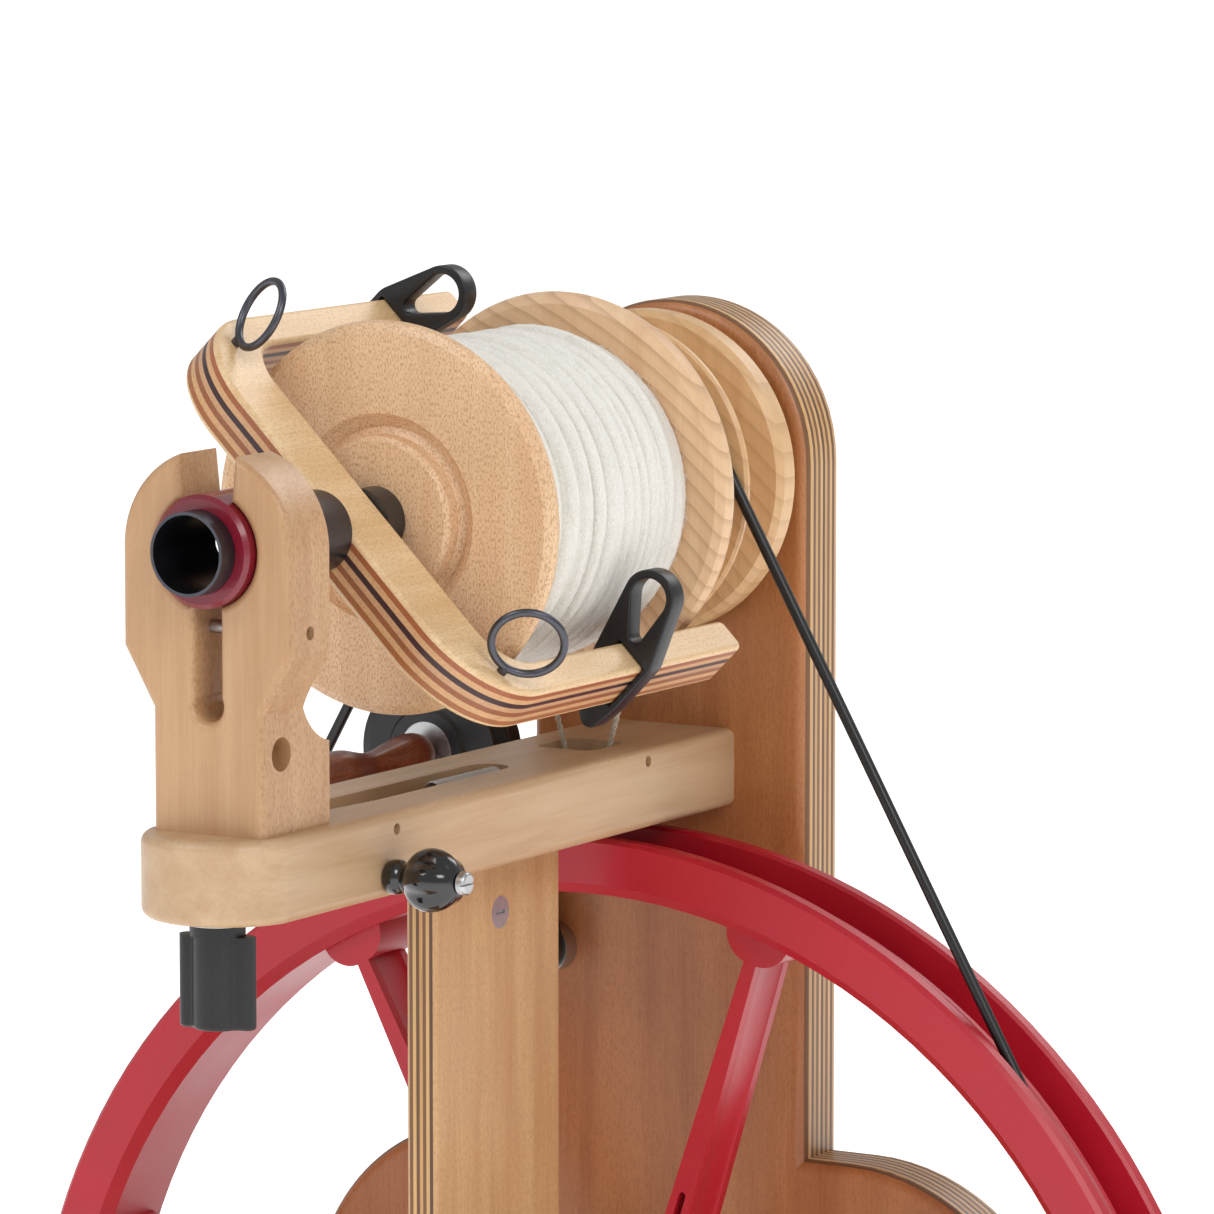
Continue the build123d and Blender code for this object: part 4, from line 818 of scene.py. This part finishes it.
@dataclass
class SlidingHook:
    """Moulded hook round a flyer arm, with a long teardrop eye and softened edges."""

    node: str
    side: int                   # 1 on the upper arm, -1 on the lower one
    material: bpy.types.Material
    arm_at: float = 68 * MM
    edge: float = 0.55 * MM
    merge: float = 0.005 * MM
    slack: float = 0.3 * MM
    arm_half: tuple[float, float] = (5.5 * MM, 8.0 * MM)
    body_mm: tuple[tuple[float, float, float], ...] = (     # places and radii of the circles inside it
        (-8, 24.5, 8.5), (0, 8, 7.7), (0.2, -8, 7.7), (3.6, -15.5, 3.4))
    eye_mm: tuple[tuple[float, float, float], ...] = ((-8, 24.5, 6.2), (-3.2, 13.6, 2.6))

    def hull(self, circles: list[tuple[float, float, float]]) -> list[tuple[float, float]]:
        """Outline of a band stretched round circles.

        Args:
            circles: Centre and radius of each circle.

        Returns:
            Points of the outline, in order.
        """
        cloud = sorted({(x + r * math.cos(a * math.pi / 24), y + r * math.sin(a * math.pi / 24))
                        for x, y, r in circles for a in range(48)})
        chains = []
        for ordered in (cloud, cloud[::-1]):
            chain: list[tuple[float, float]] = []
            for point in ordered:
                while len(chain) > 1 and ((chain[-1][0] - chain[-2][0]) * (point[1] - chain[-2][1])
                                          <= (chain[-1][1] - chain[-2][1]) * (point[0] - chain[-2][0])):
                    chain.pop()
                chain.append(point)
            chains.append(chain[:-1])
        return chains[0] + chains[1]

    def build(self) -> None:
        """Cut the outline and its openings, soften the edges and stand the hook on its arm."""
        low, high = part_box(self.node)
        shaft_z = joint_place("flyer_spin")[2]
        arm_x, arm_y = (half + self.slack for half in self.arm_half)
        inset = self.edge
        outer = self.hull([(x * MM, y * MM, r * MM - inset) for x, y, r in self.body_mm])
        eye = self.hull([(x * MM, y * MM, r * MM + inset / 2) for x, y, r in self.eye_mm])
        passage = [(-arm_x - inset, -arm_y - inset), (arm_x + inset, -arm_y - inset),
                   (arm_x + inset, arm_y + inset), (-arm_x - inset, arm_y + inset)]
        curve = bpy.data.curves.new(self.node + "_moulding", "CURVE")
        curve.dimensions = "2D"
        curve.fill_mode = "BOTH"
        curve.extrude = (high.y - low.y) / 2 - self.edge
        curve.bevel_depth = self.edge
        curve.bevel_resolution = 2
        for outline in (outer, eye, passage):
            spline = curve.splines.new("POLY")
            spline.points.add(len(outline) - 1)
            for point, (x, y) in zip(spline.points, outline):
                point.co = (x, y, 0.0, 1.0)
            spline.use_cyclic_u = True
        hook = bpy.data.objects.new(self.node + "_moulding", curve)
        bpy.context.scene.collection.objects.link(hook)
        pick(hook)
        bpy.ops.object.convert(target="MESH")
        half = math.sqrt(0.5)
        outward = Vector((-half, 0, half)) * self.side
        face_out = Vector((half, 0, half))
        centre = Vector((0, (low.y + high.y) / 2, shaft_z)) + outward * self.arm_at
        for vertex in hook.data.vertices:
            x, y, z = vertex.co
            vertex.co = centre + outward * x + face_out * y + Vector((0, z, 0))
        bpy.ops.object.mode_set(mode="EDIT")
        bpy.ops.mesh.select_all(action="SELECT")
        bpy.ops.mesh.remove_doubles(threshold=self.merge)
        bpy.ops.mesh.normals_make_consistent(inside=False)
        bpy.ops.object.mode_set(mode="OBJECT")
        bpy.ops.object.shade_smooth_by_angle(angle=math.radians(35))
        hook.data.materials.clear()
        hook.data.materials.append(self.material)
        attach(hook, self.node)
        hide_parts(self.node)


# ---------------------------------------------------------------- finishes for the CAD nodes
def dress_all() -> dict[str, bpy.types.Material]:
    """Make every finish and dress the CAD nodes in them.

    Returns:
        The materials that new pieces share.
    """
    # Maple, planed and oiled: pale and even, with faint straight grain and flecks only on its upper faces.
    maple_bar = Timber("oiled_maple_bar", "#C9A985", "#B99570", "#A67F5A", Grain.DEEP,
                       fleck_share=0.3, fleck_face=Grain.UP).material()
    # The same maple stood upright: plain front, and fine flecks where its sides cut the rays.
    maple_up = Timber("oiled_maple_upright", "#C69E76", "#B68A60", "#966842", Grain.UP,
                      fleck_share=0.45, fleck_face=Grain.ACROSS).material()
    bobbin_middle = sum(corner.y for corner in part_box("yarn")) / 2
    # Beech, turned and oiled: dense short flecks in front, growth rings as arcs on the rear flange.
    beech = Timber("oiled_beech_turned", "#E8C49C", "#DCB289", "#AC7E56", Grain.UP, fleck_mm=0.5,
                   fleck_share=0.6, ring_mm=4.6, fleck_until=bobbin_middle).material()
    # Beech of the whorl, a little yellower: arcs of growth rings and no flecks.
    whorl = Timber("oiled_beech_whorl", "#DFB888", "#D0A472", "#B88C60", Grain.UP, fleck_share=0.0,
                   ring_mm=5.2).material()
    # Maple boards, planed and oiled, with the grain along each board: warmer than the bar.
    base = Timber("oiled_maple_base", "#DDBA88", "#CDA26C", "#B98C5A", Grain.ACROSS,
                  fleck_share=0.3).material()
    boards = Timber("oiled_maple_boards", "#DDBA88", "#CDA26C", "#B98C5A", Grain.DEEP,
                    fleck_share=0.3).material()
    panel_low, panel_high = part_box("back_panel")
    post_low, post_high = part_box("front_post")
    shaft_z = joint_place("flyer_spin")[2]
    # Colours of the plies, dark where a ply shows its end grain and pale where it runs along the edge.
    ply = ("#7A5230", "#D3A76E", "#6B4629", "#C99A60", "#7A5230", "#D3A76E", "#5E3D24", "#C99A60",
           "#7A5230", "#D3A76E", "#6B4629", "#C99A60", "#7A5230")
    # Birch ply, stained and lacquered: a reddish brown face and thin striped edges.
    panel = Layered("lacquered_birch_ply", "#C07F4A", "#A86535", "#8C4E26", Grain.UP, figure_mm=16.0,
                    fleck_share=0.25, blotch=0.2, start=panel_low.y, thickness=panel_high.y - panel_low.y,
                    layers=ply).material()
    # Maple-faced ply, oiled: its faces look to the sides, so its narrow front shows the plies as stripes.
    post = Layered("oiled_maple_ply_post", "#CBA272", "#B98A5A", "#A07044", Grain.UP, fleck_share=0.3,
                   normal=(1.0, 0.0, 0.0), start=post_low.x, thickness=post_high.x - post_low.x,
                   layers=ply[:7], veneer=0.12).material()
    # Laminated maple, bent and lacquered: pale faces, brown plies and one dark purplish line on the edge.
    half = math.sqrt(0.5)
    fork = Layered("lacquered_laminated_maple", "#EECFA2", "#DDB684", "#C49A6C", Grain.DEEP,
                   fleck_share=0.4, normal=(half, 0.0, half), start=shaft_z * half - 8 * MM,
                   thickness=16 * MM, veneer=0.1,
                   layers=("#A8683C", "#D8A878", "#9C5E3A", "#CFA076", "#3E2226", "#D9A878",
                           "#A8623C")).material()
    # Turned hardwood, stained and varnished: deep reddish brown with a shine.
    stained = Timber("stained_hardwood_handle", "#8F4B2C", "#6C2F1B", "#4F2012", Grain.DEEP, figure_mm=4.0,
                     coat=0.4, roughness=0.3).material()
    # Filled polymer, moulded: a saturated red with faint paler specks and a satin skin.
    red = Moulded("red_moulded_polymer", "#B40F25", "#CC4656", grit_mm=0.8, amount=0.10,
                  roughness=0.38).material()
    # Bearing polymer, turned: dark crimson with tight highlights.
    crimson = Moulded("crimson_turned_polymer", "#7A0A22", "#98203A", roughness=0.28, coat=0.3).material()
    # Nylon, moulded: near black with soft grey highlights.
    black = Moulded("black_nylon", "#111114", "#24242A", roughness=0.40).material()
    # Phenolic, moulded and polished: black and glossy.
    gloss = Moulded("black_phenolic", "#0C0C0D", "#161617", roughness=0.14, bump=0.03, coat=0.6).material()
    # Nylon, turned: dull milky white.
    nylon = Moulded("turned_white_nylon", "#D8D7D2", "#C4C3BD", roughness=0.4).material()
    # Rubber, moulded: black and matt.
    rubber = Moulded("black_rubber", "#151515", "#262626", roughness=0.7).material()
    # Polyurethane cord, extruded: black with a satin line of light.
    cord = Moulded("black_polyurethane_cord", "#0E0E0F", "#222224", roughness=0.38).material()
    # Steel, blackened: dark grey with blurred reflections.
    blackened = Metal("blackened_steel", "#5C5D64", roughness=0.32).material()
    # Steel, zinc plated: bright grey with faint scratches.
    steel = Metal("zinc_plated_steel", "#C6C7C8").material()
    # Wool, undyed and handspun: off-white, matt and fuzzy.
    wool = Spun("undyed_wool", "#F6F4EE", "#DCD7CA", fibre_mm=0.7, sheen=0.15, bump=0.9).material()
    # Cotton, twisted: pale greyish tan and matt.
    cotton = Spun("twisted_cotton", "#CFC3AE", "#A3967F", fibre_mm=0.3).material()

    dress(maple_bar, "mother_of_all")
    dress(maple_up, "front_maiden")
    dress(beech, "bobbin")
    dress(whorl, "flyer_whorl")
    dress(base, "rear_beam", "front_beam")
    dress(boards, "base_rail", "left_treadle", "right_treadle")
    dress(panel, "back_panel")
    dress(post, "front_post")
    dress(fork, "flyer_fork")
    dress(stained, "idler_handle")
    dress(red, "drive_wheel")
    dress(crimson, "orifice_bearing")
    dress(black, "upper_hook", "lower_hook", "idler_pulley", "wing_knob", "left_footman", "right_footman",
          "idler_arm")
    dress(gloss, "tension_knob")
    dress(nylon, "bobbin_bushes", "wing_washer")
    dress(rubber, "rubber_feet")
    dress(cord, "drive_band")
    dress(blackened, "orifice_tube", "flyer_collar", "wire_loops")
    dress(steel, "axle_bolt", "axle_nut", "axle_spacer", "barrel_nut", "brake_pin", "crank_pins",
          "flyer_shaft", "hinge_brackets", "hinge_pins", "idler_axle", "idler_bearing", "idler_pivot_bolt",
          "idler_pivot_spacer", "left_footman_pin", "right_footman_pin", "maiden_clamp_screw", "post_bolt",
          "rear_bolts", "shaft_bearing", "spring_anchor", "tension_screw", "wheel_bearings", "wing_stud")
    return {"wool": wool, "cotton": cotton, "steel": steel, "gloss": gloss, "black": black}


# ---------------------------------------------------------------- studio
@dataclass
class Studio:
    """Pale floor, soft lights and the camera."""

    azimuth: float = 30.4608
    elevation: float = 7.1513
    place: tuple[float, float, float] = (1.10462, -1.77683, 0.84306)
    lens: float = 211.53
    sensor: float = 36.0
    surroundings: float = 0.52      # strength of the even white light from all round
    floor_glow: float = 0.7         # lifts the floor to white behind the wheel
    aim: tuple[float, float, float] = (0.0, 0.0, 0.5)

    def build(self) -> None:
        """Set up the floor, the lights, the surroundings and the camera."""
        self.build_floor()
        self.build_light("key_light", (-1.0, -2.2, 3.0), 1.2, 27.0)
        self.build_light("fill_light", (2.4, -1.4, 2.4), 1.2, 32.0)
        self.build_light("back_light", (0.6, 2.2, 2.4), 1.4, 22.0)
        world = bpy.data.worlds.new("soft_surroundings")
        world.use_nodes = True
        background = world.node_tree.nodes["Background"]
        background.inputs["Color"].default_value = (1.0, 1.0, 1.0, 1.0)
        background.inputs["Strength"].default_value = self.surroundings
        bpy.context.scene.world = world
        bpy.context.scene.view_settings.view_transform = "Standard"
        self.build_camera()

    def build_floor(self) -> None:
        """Lay a wide pale floor under the feet."""
        deselect_all()
        bpy.ops.mesh.primitive_plane_add(size=80.0, location=(0, 0, 0))
        floor = bpy.context.object
        floor.name = "floor"
        material, _, shader = new_material("pale_floor")
        shader.inputs["Base Color"].default_value = (0.93, 0.93, 0.93, 1.0)
        shader.inputs["Roughness"].default_value = 0.9
        shader.inputs["Emission Color"].default_value = (1.0, 1.0, 1.0, 1.0)
        shader.inputs["Emission Strength"].default_value = self.floor_glow
        floor.data.materials.append(material)

    def build_light(self, name: str, place: tuple[float, float, float], size: float, power: float) -> None:
        """Hang one soft light, aimed at the flyer.

        Args:
            name: Name of the light.
            place: Where it hangs.
            size: Side of its square face.
            power: Power in watts.
        """
        data = bpy.data.lights.new(name, "AREA")
        data.size = size
        data.energy = power
        light = bpy.data.objects.new(name, data)
        light.location = place
        light.rotation_mode = "QUATERNION"
        light.rotation_quaternion = (Vector(self.aim) - Vector(place)).to_track_quat("-Z", "Y")
        bpy.context.scene.collection.objects.link(light)

    def build_camera(self) -> None:
        """Place the camera."""
        data = bpy.data.cameras.new("camera")
        data.lens = self.lens
        data.sensor_width = self.sensor
        camera = bpy.data.objects.new("camera", data)
        azimuth, elevation = math.radians(self.azimuth), math.radians(self.elevation)
        back = Vector((math.sin(azimuth) * math.cos(elevation), -math.cos(azimuth) * math.cos(elevation),
                       math.sin(elevation)))
        camera.location = self.place
        camera.rotation_mode = "QUATERNION"
        camera.rotation_quaternion = (-back).to_track_quat("-Z", "Y")
        bpy.context.scene.collection.objects.link(camera)
        bpy.context.scene.camera = camera


def main() -> None:
    """Dress the CAD nodes, add the soft pieces and set up the studio."""
    logging.basicConfig(level=logging.INFO, format="%(name)s: %(message)s")
    shared = dress_all()
    WoolWinding(shared["wool"]).build()
    BobbinBrake(shared["cotton"], shared["steel"]).build()
    BrakeKnob(shared["gloss"]).build()
    for node, side in (("upper_hook", 1), ("lower_hook", -1)):
        SlidingHook(node, side, shared["black"]).build()
    Studio().build()


if __name__ == "__main__":
    main()
